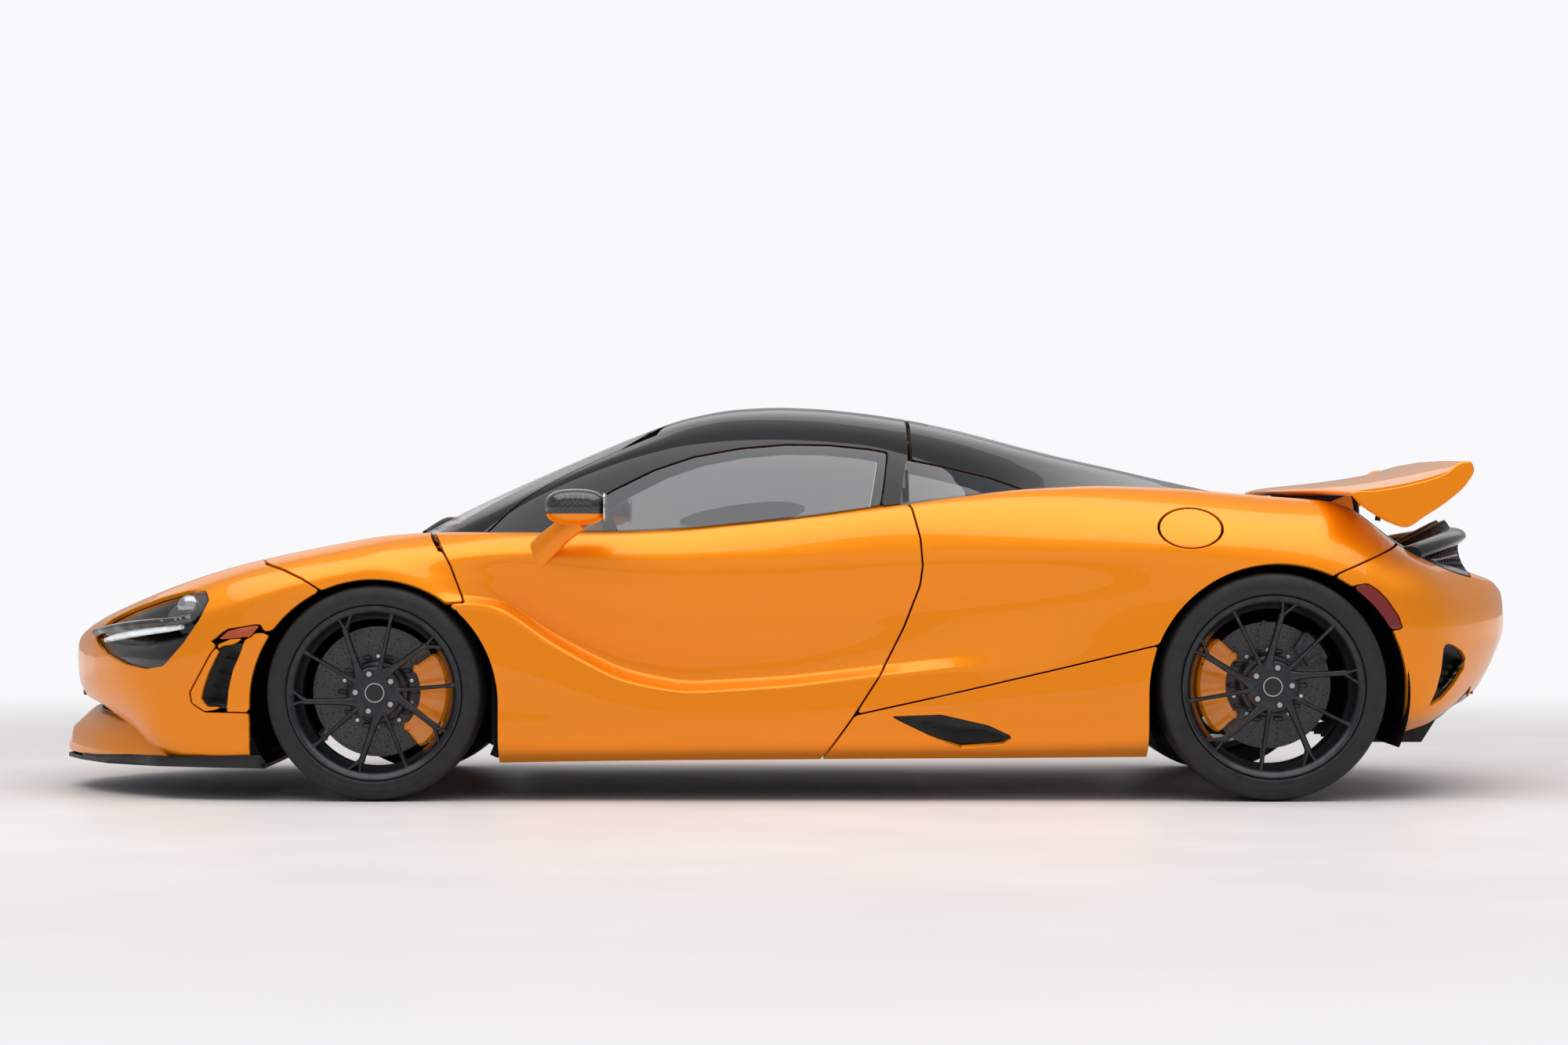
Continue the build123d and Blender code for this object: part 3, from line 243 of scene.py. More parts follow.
def line_side(px, pz, line):
    """Signed distance to an open line, positive on its left as it is walked."""
    corners = np.array(line, float)
    best = np.full(px.shape, 1e18)
    side = np.ones(px.shape)
    for k, ((ax, az), (bx, bz)) in enumerate(zip(corners[:-1], corners[1:])):
        ex, ez = bx - ax, bz - az
        t = ((px - ax) * ex + (pz - az) * ez) / (ex * ex + ez * ez)
        t = np.clip(t, -1e9 if k == 0 else 0, 1e9 if k == len(corners) - 2 else 1)
        d = (px - ax - t * ex) ** 2 + (pz - az - t * ez) ** 2
        closer = d < best
        side = np.where(closer, np.sign(ex * (pz - az) - ez * (px - ax)), side)
        best = np.where(closer, d, best)
    return side * np.sqrt(best)


def grid_normals(grid):
    """Unit normals of a grid, from the cross product of its two central differences."""
    normal = np.cross(np.gradient(grid, axis=0), np.gradient(grid, axis=1))
    return normal / (np.linalg.norm(normal, axis=2, keepdims=True) + 1e-12)


# ---- mesh helpers ---------------------------------------------------------------------------------
def linear(text):
    """An sRGB hex colour as linear RGBA."""
    channels = [int(text.lstrip("#")[k:k + 2], 16) / 255 for k in (0, 2, 4)]
    return tuple(c / 12.92 if c <= 0.04045 else ((c + 0.055) / 1.055) ** 2.4 for c in channels) + (1.0,)


def make_object(name, verts, faces, materials, smooth=True, slots=None, tidy=False):
    """A mesh object at the origin from points in millimetres. tidy joins coincident points, turns the faces
    outwards and keeps edges over 35 degrees crisp."""
    mesh = bpy.data.meshes.new(name)
    mesh.from_pydata((np.asarray(verts) * MM).tolist(), [], faces)
    if slots is not None:
        mesh.polygons.foreach_set("material_index", slots)
    if tidy:
        shape = bmesh.new()
        shape.from_mesh(mesh)
        bmesh.ops.remove_doubles(shape, verts=shape.verts, dist=WELD * MM)
        bmesh.ops.recalc_face_normals(shape, faces=shape.faces)
        shape.to_mesh(mesh)
        shape.free()
    for material in materials:
        mesh.materials.append(bpy.data.materials[material])
    mesh.polygons.foreach_set("use_smooth", [smooth] * len(mesh.polygons))
    if tidy:
        mesh.set_sharp_from_angle(angle=math.radians(35))
    mesh.update()
    thing = bpy.data.objects.new(name, mesh)
    bpy.context.scene.collection.objects.link(thing)
    return thing


def grid_faces(rows, columns, wrap_rows=False, wrap_columns=False):
    """Quads of a grid whose points are numbered row by row."""
    i = np.arange(rows if wrap_rows else rows - 1)[:, None]
    j = np.arange(columns if wrap_columns else columns - 1)[None, :]
    up, over = (i + 1) % rows, (j + 1) % columns
    quads = np.stack([i * columns + j, up * columns + j, up * columns + over, i * columns + over], axis=-1)
    return quads.reshape(-1, 4).tolist()


# Cell corners are 0 to 3 around, and 4 to 7 are the cut points after each corner.
CELL_CUTS = {
    1: [(0, 4, 7)], 2: [(1, 5, 4)], 3: [(0, 1, 5, 7)], 4: [(2, 6, 5)], 5: [(0, 4, 7), (2, 6, 5)],
    6: [(1, 2, 6, 4)], 7: [(0, 1, 2, 6, 7)], 8: [(3, 7, 6)], 9: [(0, 4, 6, 3)], 10: [(1, 5, 4), (3, 7, 6)],
    11: [(0, 1, 5, 6, 3)], 12: [(2, 3, 7, 5)], 13: [(0, 4, 5, 2, 3)], 14: [(1, 2, 3, 7, 4)],
    15: [(0, 1, 2, 3)],
}


def cut_grid(grid, normals, distance):
    """The part of a grid where distance is negative. Cells that the edge crosses keep the corners inside and
    the two points where distance, taken as straight along the cell's sides, is zero."""
    n, m = distance.shape
    ids = np.arange(n * m).reshape(n, m)
    flat, flat_n, d = grid.reshape(-1, 3), normals.reshape(-1, 3), distance.ravel()
    across, along = ids[:, :-1].ravel(), ids[:-1].ravel()
    ends = [(across, ids[:, 1:].ravel()), (along, ids[1:].ravel())]
    points, directions, starts = [flat], [flat_n], []
    total = n * m
    for a, b in ends:
        gap = d[a] - d[b]
        t = np.clip(d[a] / np.where(np.abs(gap) < 1e-12, 1e-12, gap), 0.02, 0.98)[:, None]
        points.append(flat[a] + t * (flat[b] - flat[a]))
        directions.append(flat_n[a] + t * (flat_n[b] - flat_n[a]))
        starts.append(total)
        total += len(a)
    points, directions = np.vstack(points), np.vstack(directions)
    cut_across = (starts[0] + np.arange(n * (m - 1))).reshape(n, m - 1)
    cut_along = (starts[1] + np.arange((n - 1) * m)).reshape(n - 1, m)
    corner = [ids[:-1, :-1], ids[1:, :-1], ids[1:, 1:], ids[:-1, 1:]]
    side = [cut_along[:, :-1], cut_across[1:], cut_along[:, 1:], cut_across[:-1]]
    table = np.stack([c.ravel() for c in corner + side], axis=1)
    inside = d[table[:, :4]] < 0
    case = inside @ np.array([1, 2, 4, 8])
    faces = []
    for value, cells in CELL_CUTS.items():
        rows = table[case == value]
        for cell in cells:
            faces += rows[:, cell].tolist()
    used = np.unique(np.concatenate([np.array(f) for f in faces])) if faces else np.array([], int)
    renumber = np.full(total, -1)
    renumber[used] = np.arange(len(used))
    faces = [[int(renumber[v]) for v in face] for face in faces]
    directions = directions[used]
    return points[used], directions / (np.linalg.norm(directions, axis=1, keepdims=True) + 1e-12), faces


def rim_edges(faces):
    """Directed edges that only one face uses."""
    pairs = []
    for corners in (3, 4, 5):
        ring = np.array([face for face in faces if len(face) == corners]).reshape(-1, corners)
        pairs.append(np.stack([ring, np.roll(ring, -1, axis=1)], axis=2).reshape(-1, 2))
    pairs = np.concatenate(pairs)
    low, high = np.sort(pairs, axis=1).astype(np.int64).T
    _, first, count = np.unique(low * (high.max() + 1) + high, return_index=True, return_counts=True)
    return pairs[first[count == 1]]


def panel_mesh(points, normals, faces, depth=SKIN, radius=EDGE_R, back=False):
    """Gives a cut skin a rolled edge and a flange: three rings leave each open edge, the first two on a
    quarter circle of the given radius and the last straight in to the given depth. back closes the inside
    as well."""
    edges = rim_edges(faces)
    tangent = points[edges[:, 1]] - points[edges[:, 0]]
    tangent /= np.linalg.norm(tangent, axis=1, keepdims=True) + 1e-12
    outward = np.zeros_like(points)
    for end in (0, 1):
        np.add.at(outward, edges[:, end], np.cross(tangent, normals[edges[:, end]]))
    loop = np.unique(edges)
    outward = outward[loop] / (np.linalg.norm(outward[loop], axis=1, keepdims=True) + 1e-12)
    ring_of = np.full(len(points), -1)
    ring_of[loop] = np.arange(len(loop))
    verts, turns, faces = [points], [normals], list(faces)
    before = loop
    count = len(points)
    rings = ((radius * 0.7071, radius * 0.2929, 0.7071), (radius, radius, 1.0), (radius, depth, 1.0))
    for out, down, tilt in rings:
        ring = points[loop] + outward * out - normals[loop] * down
        verts.append(ring)
        turns.append(normals[loop] * (1 - tilt) + outward * tilt)
        now = count + np.arange(len(loop))
        a, b = ring_of[edges[:, 0]], ring_of[edges[:, 1]]
        faces += np.stack([before[b], before[a], now[a], now[b]], axis=1).tolist()
        before = now
        count += len(loop)
    if back:
        inner = points - normals * depth
        verts.append(inner)
        turns.append(-normals)
        skin = faces[:len(faces) - 3 * len(edges)]
        faces += [[v + count for v in reversed(face)] for face in skin]
        a, b = ring_of[edges[:, 0]], ring_of[edges[:, 1]]
        faces += np.stack([before[b], before[a], edges[:, 0] + count, edges[:, 1] + count], axis=1).tolist()
    return np.vstack(verts), np.vstack(turns), faces


def flipped(verts, faces):
    """The mirror image across the car's middle, with its faces turned to point outwards."""
    return verts * np.array([1, -1, 1]), [list(reversed(face)) for face in faces]


# ---- the body surface -----------------------------------------------------------------------------
def read_rows(table, xs):
    """A section table read at any places along x, straight between its rows."""
    return np.stack([np.interp(xs, table[:, 0], table[:, k]) for k in range(1, table.shape[1])], axis=1)


def stations(table, ends, sigma):
    """A section table read at even steps between two ends, then Gaussian-averaged."""
    xs = np.arange(ends[0], ends[1] + GRID_STEP / 2, GRID_STEP)
    return xs, smoothed(read_rows(table, xs), GRID_STEP, sigma)


def eased(share):
    """A share from 0 to 1 made level at both ends: 3 t^2 - 2 t^3."""
    return share * share * (3 - 2 * share)


def section_grid(xs, rows, samples, sharp):
    """The full-width grid: each half section is a curve through its columns, and the right half mirrors the
    left."""
    count = (rows.shape[1] - 1) // 2
    knots = rows[:, :2 * count].reshape(len(xs), count, 2)
    top = np.stack([np.zeros(len(xs)), rows[:, -1]], axis=1)[:, None]
    knots = np.concatenate([knots, top], axis=1)
    half = hermite(knots, samples, sharp)
    left = np.stack([np.repeat(xs[:, None], half.shape[1], 1), -half[..., 0], half[..., 1]], axis=2)
    right = left[:, -2::-1] * np.array([1, -1, 1])
    return np.concatenate([left, right], axis=1)


class Surface:
    """A grid of points and its normals."""

    def __init__(self, grid):
        """Keeps the grid's three coordinates apart as well."""
        self.grid = grid
        self.normals = grid_normals(grid)
        self.x, self.y, self.z = grid[..., 0], grid[..., 1], grid[..., 2]


def body_surface():
    """The lower body: the averaged rows of its section table, which turn to plain ones towards the nose and
    tail, with a corner along the blade."""
    xs, even = stations(BODY, BODY_ENDS, BODY_AVERAGE)
    share = np.clip(np.minimum(xs - BODY_ENDS[0], BODY_ENDS[1] - xs) / END_FADE, 0, 1)[:, None]
    even = even * share + read_rows(BODY, xs) * (1 - share)
    rows = np.vstack([read_rows(BODY, NOSE_X), even, read_rows(BODY, TAIL_X)])
    xs = np.concatenate([NOSE_X, xs, TAIL_X])
    sharp = np.zeros((len(xs), len(COLUMNS)))
    sharp[:, CREASE] = eased(np.interp(xs, *np.array(CREASE_FADE).T))
    sharp[:, HOLLOW] = sharp[:, CREASE] * 0.6
    return Surface(section_grid(xs, rows, SAMPLES, sharp))


body = body_surface()


def arch_distance(s, wheel):
    """Distance inside a wheel's round arch, with straight legs down to the floor: positive where the wheel
    is."""
    cx, cz, r = wheel["arch"]
    return r - np.hypot(s.x - cx, np.maximum(s.z - cz, 0))


def region(*edges):
    """Inside every one of several edges."""
    return np.maximum.reduce(edges)


def cut_panel(s, distance, seam=SEAM, **edge):
    """A panel of surface s where distance is negative, drawn back by half a seam and its edge radius."""
    points, normals, faces = cut_grid(s.grid, s.normals, distance + seam / 2 + EDGE_R)
    return panel_mesh(points, normals, faces, **edge)


def put(name, mesh, finishes, rides="root", replaces="", slots=None, slot="", right=False, bevel=0, thick=0):
    """Links a (verts, normals, faces) mesh. slots picks one of several finishes for each face. slot would be
    the record's, where it isn't the first finish's own, and is not used. right gives the mirror image on the
    car's other side; bevel rounds the edges and thick gives a sheet its thickness, both in millimetres."""
    verts, normals, faces = mesh
    finishes = [finishes] if isinstance(finishes, str) else finishes
    if right:
        verts, faces = flipped(verts, faces)
        normals = None if normals is None else normals * np.array([1, -1, 1])
    thing = make_object(name, verts, faces, finishes, slots=slots, tidy=normals is None)
    if normals is not None:
        thing.data.normals_split_custom_set_from_vertices(normals.tolist())
    if thick:
        sheet = thing.modifiers.new("thickness", "SOLIDIFY")
        sheet.thickness = thick * MM
    if bevel:
        edge = thing.modifiers.new("edge", "BEVEL")
        edge.width = bevel * MM
        edge.segments = 3
        edge.limit_method = "ANGLE"
        edge.harden_normals = True
    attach(thing, rides)
    if replaces:
        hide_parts(replaces)
    return thing


def both(name, mesh, finishes, rides="root", replaces="", **more):
    """Links a left-hand piece and its mirror image. SIDE in a name becomes left or right."""
    return [put(name.replace("SIDE", side), mesh, finishes, rides.replace("SIDE", side),
                replaces.replace("SIDE", side), right=side == "right", **more) for side in ("left", "right")]


def merged(parts):
    """Several (verts, normals, faces) as one."""
    verts, normals, faces, start = [], [], [], 0
    for part in parts:
        v, n, f = part
        verts.append(v)
        normals.append(n if n is not None else np.zeros_like(v))
        faces += [[c + start for c in face] for face in f]
        start += len(v)
    plain = any(part[1] is None for part in parts)
    return np.vstack(verts), None if plain else np.vstack(normals), faces


# ---- body panels ----------------------------------------------------------------------------------
LID_PLAN = ((-1991, -294), (-1213, -526), (-1213, 526), (-1991, 294))
DECK_HALF = 440.0
COWL_DROP = 42.0           # room for the lid's rear edge as it tips up
# Lower lip, from the middle out. Columns: y, tip x, top edge x, top edge z, bottom z
LIP = np.array([
    (0, -2280, -2188, 252, 106), (170, -2268, -2176, 252, 106), (350, -2200, -2122, 248, 106),
    (500, -2124, -2060, 240, 106), (620, -2042, -1990, 228, 106), (720, -1950, -1905, 210, 107),
    (800, -1880, -1840, 180, 108),
], float)
MOUTH = ((-2400, 300), (-2196, 292), (-2100, 268), (-2010, 214), (-1990, 190), (-2040, 172), (-2130, 176),
         (-2400, 190))
FLAP = (1205.0, 812.0, 96.0, 60.0)     # the fuel flap's centre x and z and its two half widths


def side_of(s, outline):
    """Distance of a surface's points from an outline in side view, negative inside."""
    return outline_distance(s.x, s.z, outline)


def flank_of(s, outline, inboard):
    """The same on the left flank alone, which starts at the given distance from the car's middle."""
    return region(side_of(s, outline), s.y + inboard)


def box(s, x=(-FAR, FAR), y=(-FAR, FAR), z=(-FAR, FAR)):
    """Inside a box square to the axes, given by its low and high limit along each."""
    return region(x[0] - s.x, s.x - x[1], y[0] - s.y, s.y - y[1], z[0] - s.z, s.z - z[1])


# ---- finishes -------------------------------------------------------------------------------------
def add_node(tree, kind, wires=(), **settings):
    """Adds a shader node, sets its sockets and properties by name, and wires (output, socket) pairs into
    it."""
    node = tree.nodes.new(kind)
    for key, value in settings.items():
        spaced = key.replace("_", " ")
        if spaced in node.inputs:
            node.inputs[spaced].default_value = value
        else:
            setattr(node, key, value)
    for output, socket in wires:
        tree.links.new(output, node.inputs[socket])
    return node


def new_finish(name, **constants):
    """A material with its Principled shader's plain sockets set, and the Object coordinates for its
    patterns."""
    material = bpy.data.materials.new(name)
    material.use_nodes = True
    tree = material.node_tree
    shader = tree.nodes["Principled BSDF"]
    for key, value in constants.items():
        shader.inputs[key.replace("_", " ")].default_value = value
    place = add_node(tree, "ShaderNodeTexCoord")
    return tree, shader, place.outputs["Object"]


def speckled(tree, place, scale, low, high, detail=3.0):
    """A noise pattern of a given count per metre, mapped to a colour or grey range."""
    noise = add_node(tree, "ShaderNodeTexNoise", [(place, "Vector")], Scale=scale, Detail=detail)
    ramp = add_node(tree, "ShaderNodeValToRGB", [(noise.outputs["Fac"], "Fac")])
    ramp.color_ramp.elements[0].color = low
    ramp.color_ramp.elements[1].color = high
    ramp.color_ramp.elements[0].position = 0.3
    ramp.color_ramp.elements[1].position = 0.7
    return ramp.outputs["Color"]


def grey(value):
    """A grey as linear RGBA."""
    return (value, value, value, 1.0)


def rippled(tree, shader, place, scale, height):
    """A bump from noise, height in metres."""
    noise = add_node(tree, "ShaderNodeTexNoise", [(place, "Vector")], Scale=scale, Detail=2.0)
    bump = add_node(tree, "ShaderNodeBump", [(noise.outputs["Fac"], "Height")], Strength=0.3, Distance=height)
    tree.links.new(bump.outputs["Normal"], shader.inputs["Normal"])


def paint_finish(name, deep, lit):
    """Clear-coated paint: a second tone where it turns away, which is painted light on the tops and edges, a
    fine flake, and a hard gloss coat.
    """
    tree, shader, place = new_finish(name, Metallic=0.5, Coat_Weight=0.7, Coat_Roughness=0.015, Coat_IOR=1.45,
                                     Specular_IOR_Level=0.1)
    facing = add_node(tree, "ShaderNodeLayerWeight", Blend=0.35)
    flakes = speckled(tree, place, 900.0, grey(0.94), grey(1.0), 1.0)
    tone = add_node(tree, "ShaderNodeMix", [(facing.outputs["Facing"], "Factor")], data_type="RGBA")
    tone.inputs["A"].default_value = lit
    tone.inputs["B"].default_value = deep
    tinted = add_node(tree, "ShaderNodeMix", [(tone.outputs["Result"], "A"), (flakes, "B")],
                      data_type="RGBA", blend_type="MULTIPLY")
    tinted.inputs["Factor"].default_value = 1.0
    tree.links.new(tinted.outputs["Result"], shader.inputs["Base Color"])
    rough = speckled(tree, place, 420.0, grey(0.34), grey(0.42), 1.0)
    tree.links.new(rough, shader.inputs["Roughness"])


def plain_finish(name, low, high, rough, scale, bump_scale, bump_height, **constants):
    """A moulded, cast or woven surface: two close tones in a fine noise, uneven gloss and a grain."""
    tree, shader, place = new_finish(name, **constants)
    tree.links.new(speckled(tree, place, scale, low, high), shader.inputs["Base Color"])
    gloss = speckled(tree, place, scale * 0.7, grey(rough[0]), grey(rough[1]))
    tree.links.new(gloss, shader.inputs["Roughness"])
    rippled(tree, shader, place, bump_scale, bump_height)


def weave_finish(name, low, high):
    """Clear-coated twill: two crossed waves of 4 mm make the tows, and their product picks light or dark
    ones."""
    tree, shader, place = new_finish(name, Coat_Weight=1.0, Coat_Roughness=0.04, Metallic=0.2)
    bands = []
    for turn in (0.785, -0.785):
        turned = add_node(tree, "ShaderNodeMapping", [(place, "Vector")])
        turned.inputs["Rotation"].default_value = (0, turn, turn)
        wave = add_node(tree, "ShaderNodeTexWave", [(turned.outputs["Vector"], "Vector")], Scale=42.0,
                        Distortion=0.0)
        bands.append(wave.outputs["Fac"])
    tows = add_node(tree, "ShaderNodeMath", operation="MULTIPLY")
    tree.links.new(bands[0], tows.inputs[0])
    tree.links.new(bands[1], tows.inputs[1])
    ramp = add_node(tree, "ShaderNodeValToRGB", [(tows.outputs["Value"], "Fac")])
    ramp.color_ramp.elements[0].color = low
    ramp.color_ramp.elements[1].color = high
    tree.links.new(ramp.outputs["Color"], shader.inputs["Base Color"])
    shader.inputs["Roughness"].default_value = 0.32


def glass_finish(name, tint, alpha):
    """Tinted glass, part see-through: a dark pane with a hard mirror gloss over it."""
    tree, shader, place = new_finish(name, Roughness=0.02, Coat_Weight=1.0, Coat_Roughness=0.01, Alpha=alpha,
                                     Specular_IOR_Level=0.6)
    paler = tuple(c * 1.06 for c in tint[:3]) + (1.0,)
    tree.links.new(speckled(tree, place, 6.0, tint, paler), shader.inputs["Base Color"])


def lit_finish(name, tint, strength):
    """A lamp lens or light strip that glows a little under its gloss."""
    tree, shader, place = new_finish(name, Roughness=0.12, Coat_Weight=1.0, Coat_Roughness=0.02,
                                     Emission_Color=tint, Emission_Strength=strength)
    deeper = tuple(c * 0.8 for c in tint[:3]) + (1.0,)
    tree.links.new(speckled(tree, place, 60.0, tint, deeper), shader.inputs["Base Color"])


# Each plain finish: two close tones, roughness range, noise count per metre, grain count per metre and height
PLAIN = {
    # moulded black trim: satin, with a faint grain
    "black_trim": ("#0B0B0C", "#121214", (0.42, 0.55), 60.0, 900.0, 0.0002),
    # tyre rubber: matt, a little dusty
    "tyre_rubber": ("#111112", "#1B1B1C", (0.55, 0.72), 30.0, 500.0, 0.0003),
    # carbon ceramic: dark grey with a fine swirl
    "ceramic_disc": ("#47484A", "#6A6B6D", (0.4, 0.55), 180.0, 700.0, 0.0002, dict(Metallic=0.2)),
    # sand-cast aluminium: pale, dull and slightly pitted
    "cast_alloy": ("#6E7072", "#8A8C8E", (0.42, 0.55), 90.0, 400.0, 0.0003, dict(Metallic=0.8)),
    # polished steel: a bright glint
    "bright_steel": ("#B9BBBD", "#D2D4D6", (0.2, 0.3), 90.0, 300.0, 0.0001, dict(Metallic=1.0)),
    # silvered mirror glass: a near-perfect reflection
    "mirror_silver": ("#C9CCD0", "#D6D9DC", (0.03, 0.05), 20.0, 300.0, 0.00001, dict(Metallic=1.0)),
    # needled felt that lines the arches, almost black; also the sheet of painted shade behind the tail mesh
    "arch_felt": ("#060606", "#0C0C0C", (0.8, 0.95), 120.0, 700.0, 0.0006, dict(Specular_IOR_Level=0.2)),
    # machined steel under a dark oxide: grey, half bright
    "dark_steel": ("#3A3B3D", "#55575A", (0.32, 0.45), 90.0, 300.0, 0.0002, dict(Metallic=0.9)),
    # satin titanium of the tail pipes, browned by heat
    "heat_titanium": ("#2A2928", "#413F3D", (0.32, 0.45), 25.0, 300.0, 0.0001, dict(Metallic=1.0)),
    # bare moulded composite: flat, dark and even
    "bare_composite": ("#17181A", "#232426", (0.5, 0.62), 120.0, 600.0, 0.0003),
    # grained leather, with its pebble at 2 mm, in two colours
    "black_leather": ("#141414", "#1E1D1C", (0.45, 0.6), 80.0, 520.0, 0.0006, dict(Sheen_Weight=0.15)),
    "amber_leather": ("#B0590C", "#C76A12", (0.45, 0.6), 80.0, 520.0, 0.0006),
    # gloss black bowl behind the lamp
    "lamp_bowl": ("#0A0B0C", "#16181A", (0.12, 0.2), 50.0, 300.0, 0.0001,
                  dict(Coat_Weight=1.0, Coat_Roughness=0.05)),
}


def make_finishes(options):
    """All the finishes, by the real material each stands for."""
    for name, (low, high, rough, scale, grain, height, *more) in PLAIN.items():
        more = more[0] if more else {}
        plain_finish(name, linear(low), linear(high), rough, scale, grain, height, **more)
    # clear-coated pearl paint: a hot, glossy orange that goes paler where it turns away, a painted highlight
    # on the tops, shoulder and shelf
    paint_finish("amber_paint", tuple(options.paint_highlight), tuple(options.paint))
    # near-black lacquer of the roof and pillars, mirror smooth
    paint_finish("black_lacquer", linear("#050607"), linear("#0A0C0E"))
    # satin lacquer on cast rims: a soft, wide gleam on near-black
    plain_finish("wheel_lacquer", tuple(options.rim), linear("#33363A"), (0.30, 0.38), 40.0, 600.0, 0.00005,
                 Metallic=0.75, Coat_Weight=0.35, Coat_Roughness=0.25)
    # baked caliper enamel: a glossy orange, with a faint glow painted in as light bounced into the arch's
    # shade
    enamel = tuple(options.caliper)
    plain_finish("caliper_enamel", enamel, linear("#FF9A14"), (0.22, 0.3), 30.0, 300.0, 0.0001,
                 Coat_Weight=0.8, Coat_Roughness=0.06, Emission_Color=enamel, Emission_Strength=0.1)
    # lacquered carbon twill: crossed dark tows under gloss
    weave_finish("carbon_twill", linear("#08090A"), linear("#3A3D41"))
    # grey-tinted glazing that dims the cabin, and clear lamp glass that barely does
    glass_finish("grey_glass", linear("#16242C"), options.glass)
    glass_finish("clear_lens", linear("#8E9296"), 0.22)
    # light guides and lenses: cool white, amber and red, only just lit
    for name, tint, strength in (("white_light", "#E9EEF2", 0.35), ("amber_lens", "#B4460A", 0.05),
                                 ("red_lens", "#78060A", 0.05)):
        lit_finish(name, linear(tint), strength)


# ---- general forms --------------------------------------------------------------------------------
def power(value, exponent):
    """A value's size raised to a power, with its sign kept."""
    return np.sign(value) * np.abs(value) ** exponent


def loft(rings):
    """Quads between rings of equal count, and a face over the first and the last ring."""
    grid = np.asarray(rings, float)
    n, m = grid.shape[:2]
    faces = grid_faces(n, m, wrap_columns=True) + [list(range(m)), list(range((n - 1) * m, n * m))]
    return grid.reshape(-1, 3), None, faces


def lathe(profile, centre, turns=96, start=0.0, sweep=360.0):
    """A closed profile turned about the Y line through centre: (a, r) goes to (x + r cos t, y + a, z + r
    sin t). A part turn is closed by a face at each end."""
    a, r = np.array(profile, float).T
    whole = sweep == 360.0
    t = np.radians(start + np.linspace(0, sweep, turns, endpoint=not whole))[:, None]
    x, y, z = centre
    grid = np.stack([x + r * np.cos(t), y + a + 0 * t, z + r * np.sin(t)], axis=2)
    faces = grid_faces(turns, len(a), wrap_rows=whole, wrap_columns=True)
    if not whole:
        faces += [list(range(len(a))), list(range((turns - 1) * len(a), turns * len(a)))]
    return grid.reshape(-1, 3), None, faces


def cushion(centre, half, round_u=0.5, round_v=0.5, rows=22, columns=44, tilt=0.0):
    """A superellipsoid: (a c(u) c(v), b c(u) s(v), h s(u)), where c and s are the cosine and sine raised to a
    power with their sign kept. tilt leans it about the Y line, in degrees."""
    u = np.linspace(-np.pi / 2, np.pi / 2, rows)[:, None]
    v = np.linspace(0, 2 * np.pi, columns, endpoint=False)
    cu, su = power(np.cos(u), round_u), power(np.sin(u), round_u)
    a, b, h = half
    grid = np.stack([a * cu * power(np.cos(v), round_v), b * cu * power(np.sin(v), round_v), h * su + 0 * v],
                    axis=2)
    t = math.radians(tilt)
    lean = np.array([[math.cos(t), 0, math.sin(t)], [0, 1, 0], [-math.sin(t), 0, math.cos(t)]])
    grid = grid @ lean.T + np.array(centre)
    return grid.reshape(-1, 3), None, grid_faces(rows, columns, wrap_columns=True)


def bar(path, radius, sides=14, flat=1.0):
    """A round bar along a path: each ring is a circle square to the path, narrowed by flat across it."""
    path = np.array(path, float)
    along = np.gradient(path, axis=0)
    along /= np.linalg.norm(along, axis=1, keepdims=True)
    guide = np.array([0.02, 0.03, 1.0]) if abs(along[:, 2]).mean() < 0.8 else np.array([1.0, 0.02, 0.03])
    side = np.cross(along, guide)
    side /= np.linalg.norm(side, axis=1, keepdims=True)
    up = np.cross(side, along)
    t = np.linspace(0, 2 * np.pi, sides, endpoint=False)[None, :, None]
    radius = np.broadcast_to(np.asarray(radius, float), (len(path),))[:, None, None]
    return loft(path[:, None] + radius * (np.cos(t) * side[:, None] * flat + np.sin(t) * up[:, None]))


def slab(outline, y0, y1, edge=2.0):
    """An (x, z) outline carried from y0 to y1. Its rims are drawn in by edge on a 45 degree chamfer."""
    points = np.array(outline, float)
    ahead, behind = np.roll(points, -1, axis=0) - points, points - np.roll(points, 1, axis=0)
    ahead, behind = (v / (np.linalg.norm(v, axis=1, keepdims=True) + 1e-9) for v in (ahead, behind))
    turn = ahead + behind
    turn /= np.linalg.norm(turn, axis=1, keepdims=True) + 1e-9
    area = np.sum(points[:, 0] * np.roll(points[:, 1], -1) - points[:, 1] * np.roll(points[:, 0], -1))
    inward = np.stack([-turn[:, 1], turn[:, 0]], axis=1) * (1 if area > 0 else -1)
    small = points + inward * edge
    steps = ((small, y0), (points, y0 + edge), (points, y1 - edge), (small, y1))
    return loft([np.insert(ring, 1, y, axis=1) for ring, y in steps])


def painted(parts):
    """Several (mesh, slot number) pairs as one mesh and its faces' slots."""
    slots = [number for mesh, number in parts for _ in mesh[2]]
    return merged([mesh for mesh, _ in parts]), slots


# ---- wheels ---------------------------------------------------------------------------------------
FIFTH = 360 / 5            # the spokes and bolts repeat five times round


def tyre_profile(wheel):
    """Half a tyre's section mirrored: a flat tread with four grooves, round shoulders, a bulged wall with
    its rim protector, and the bead."""
    half, r, seat = wheel["width"] / 2, wheel["radius"], wheel["seat"]
    wall = curve_through([(-half + 24, seat + 10), (-half + 13, seat + 19), (-half + 5, seat + 22),
                          (-half + 1.5, seat + 28), (-half + 2.5, seat + 37), (-half + 1, (seat + r) / 2 + 6),
                          (-half + 4, r - 22), (-half + 12, r - 9), (-half + 24, r - 3.6),
                          (-half + 40, r - 1.2)], 4)
    grooves = [(-half * at + out, r - down) for at, wide in ((0.56, 9), (0.2, 10))
               for out, down in ((0, 0), (1, 7), (wide, 7), (wide + 1, 0))]
    side = np.vstack([wall, np.array(grooves)])
    return np.vstack([side, side[::-1] * np.array([-1, 1])])


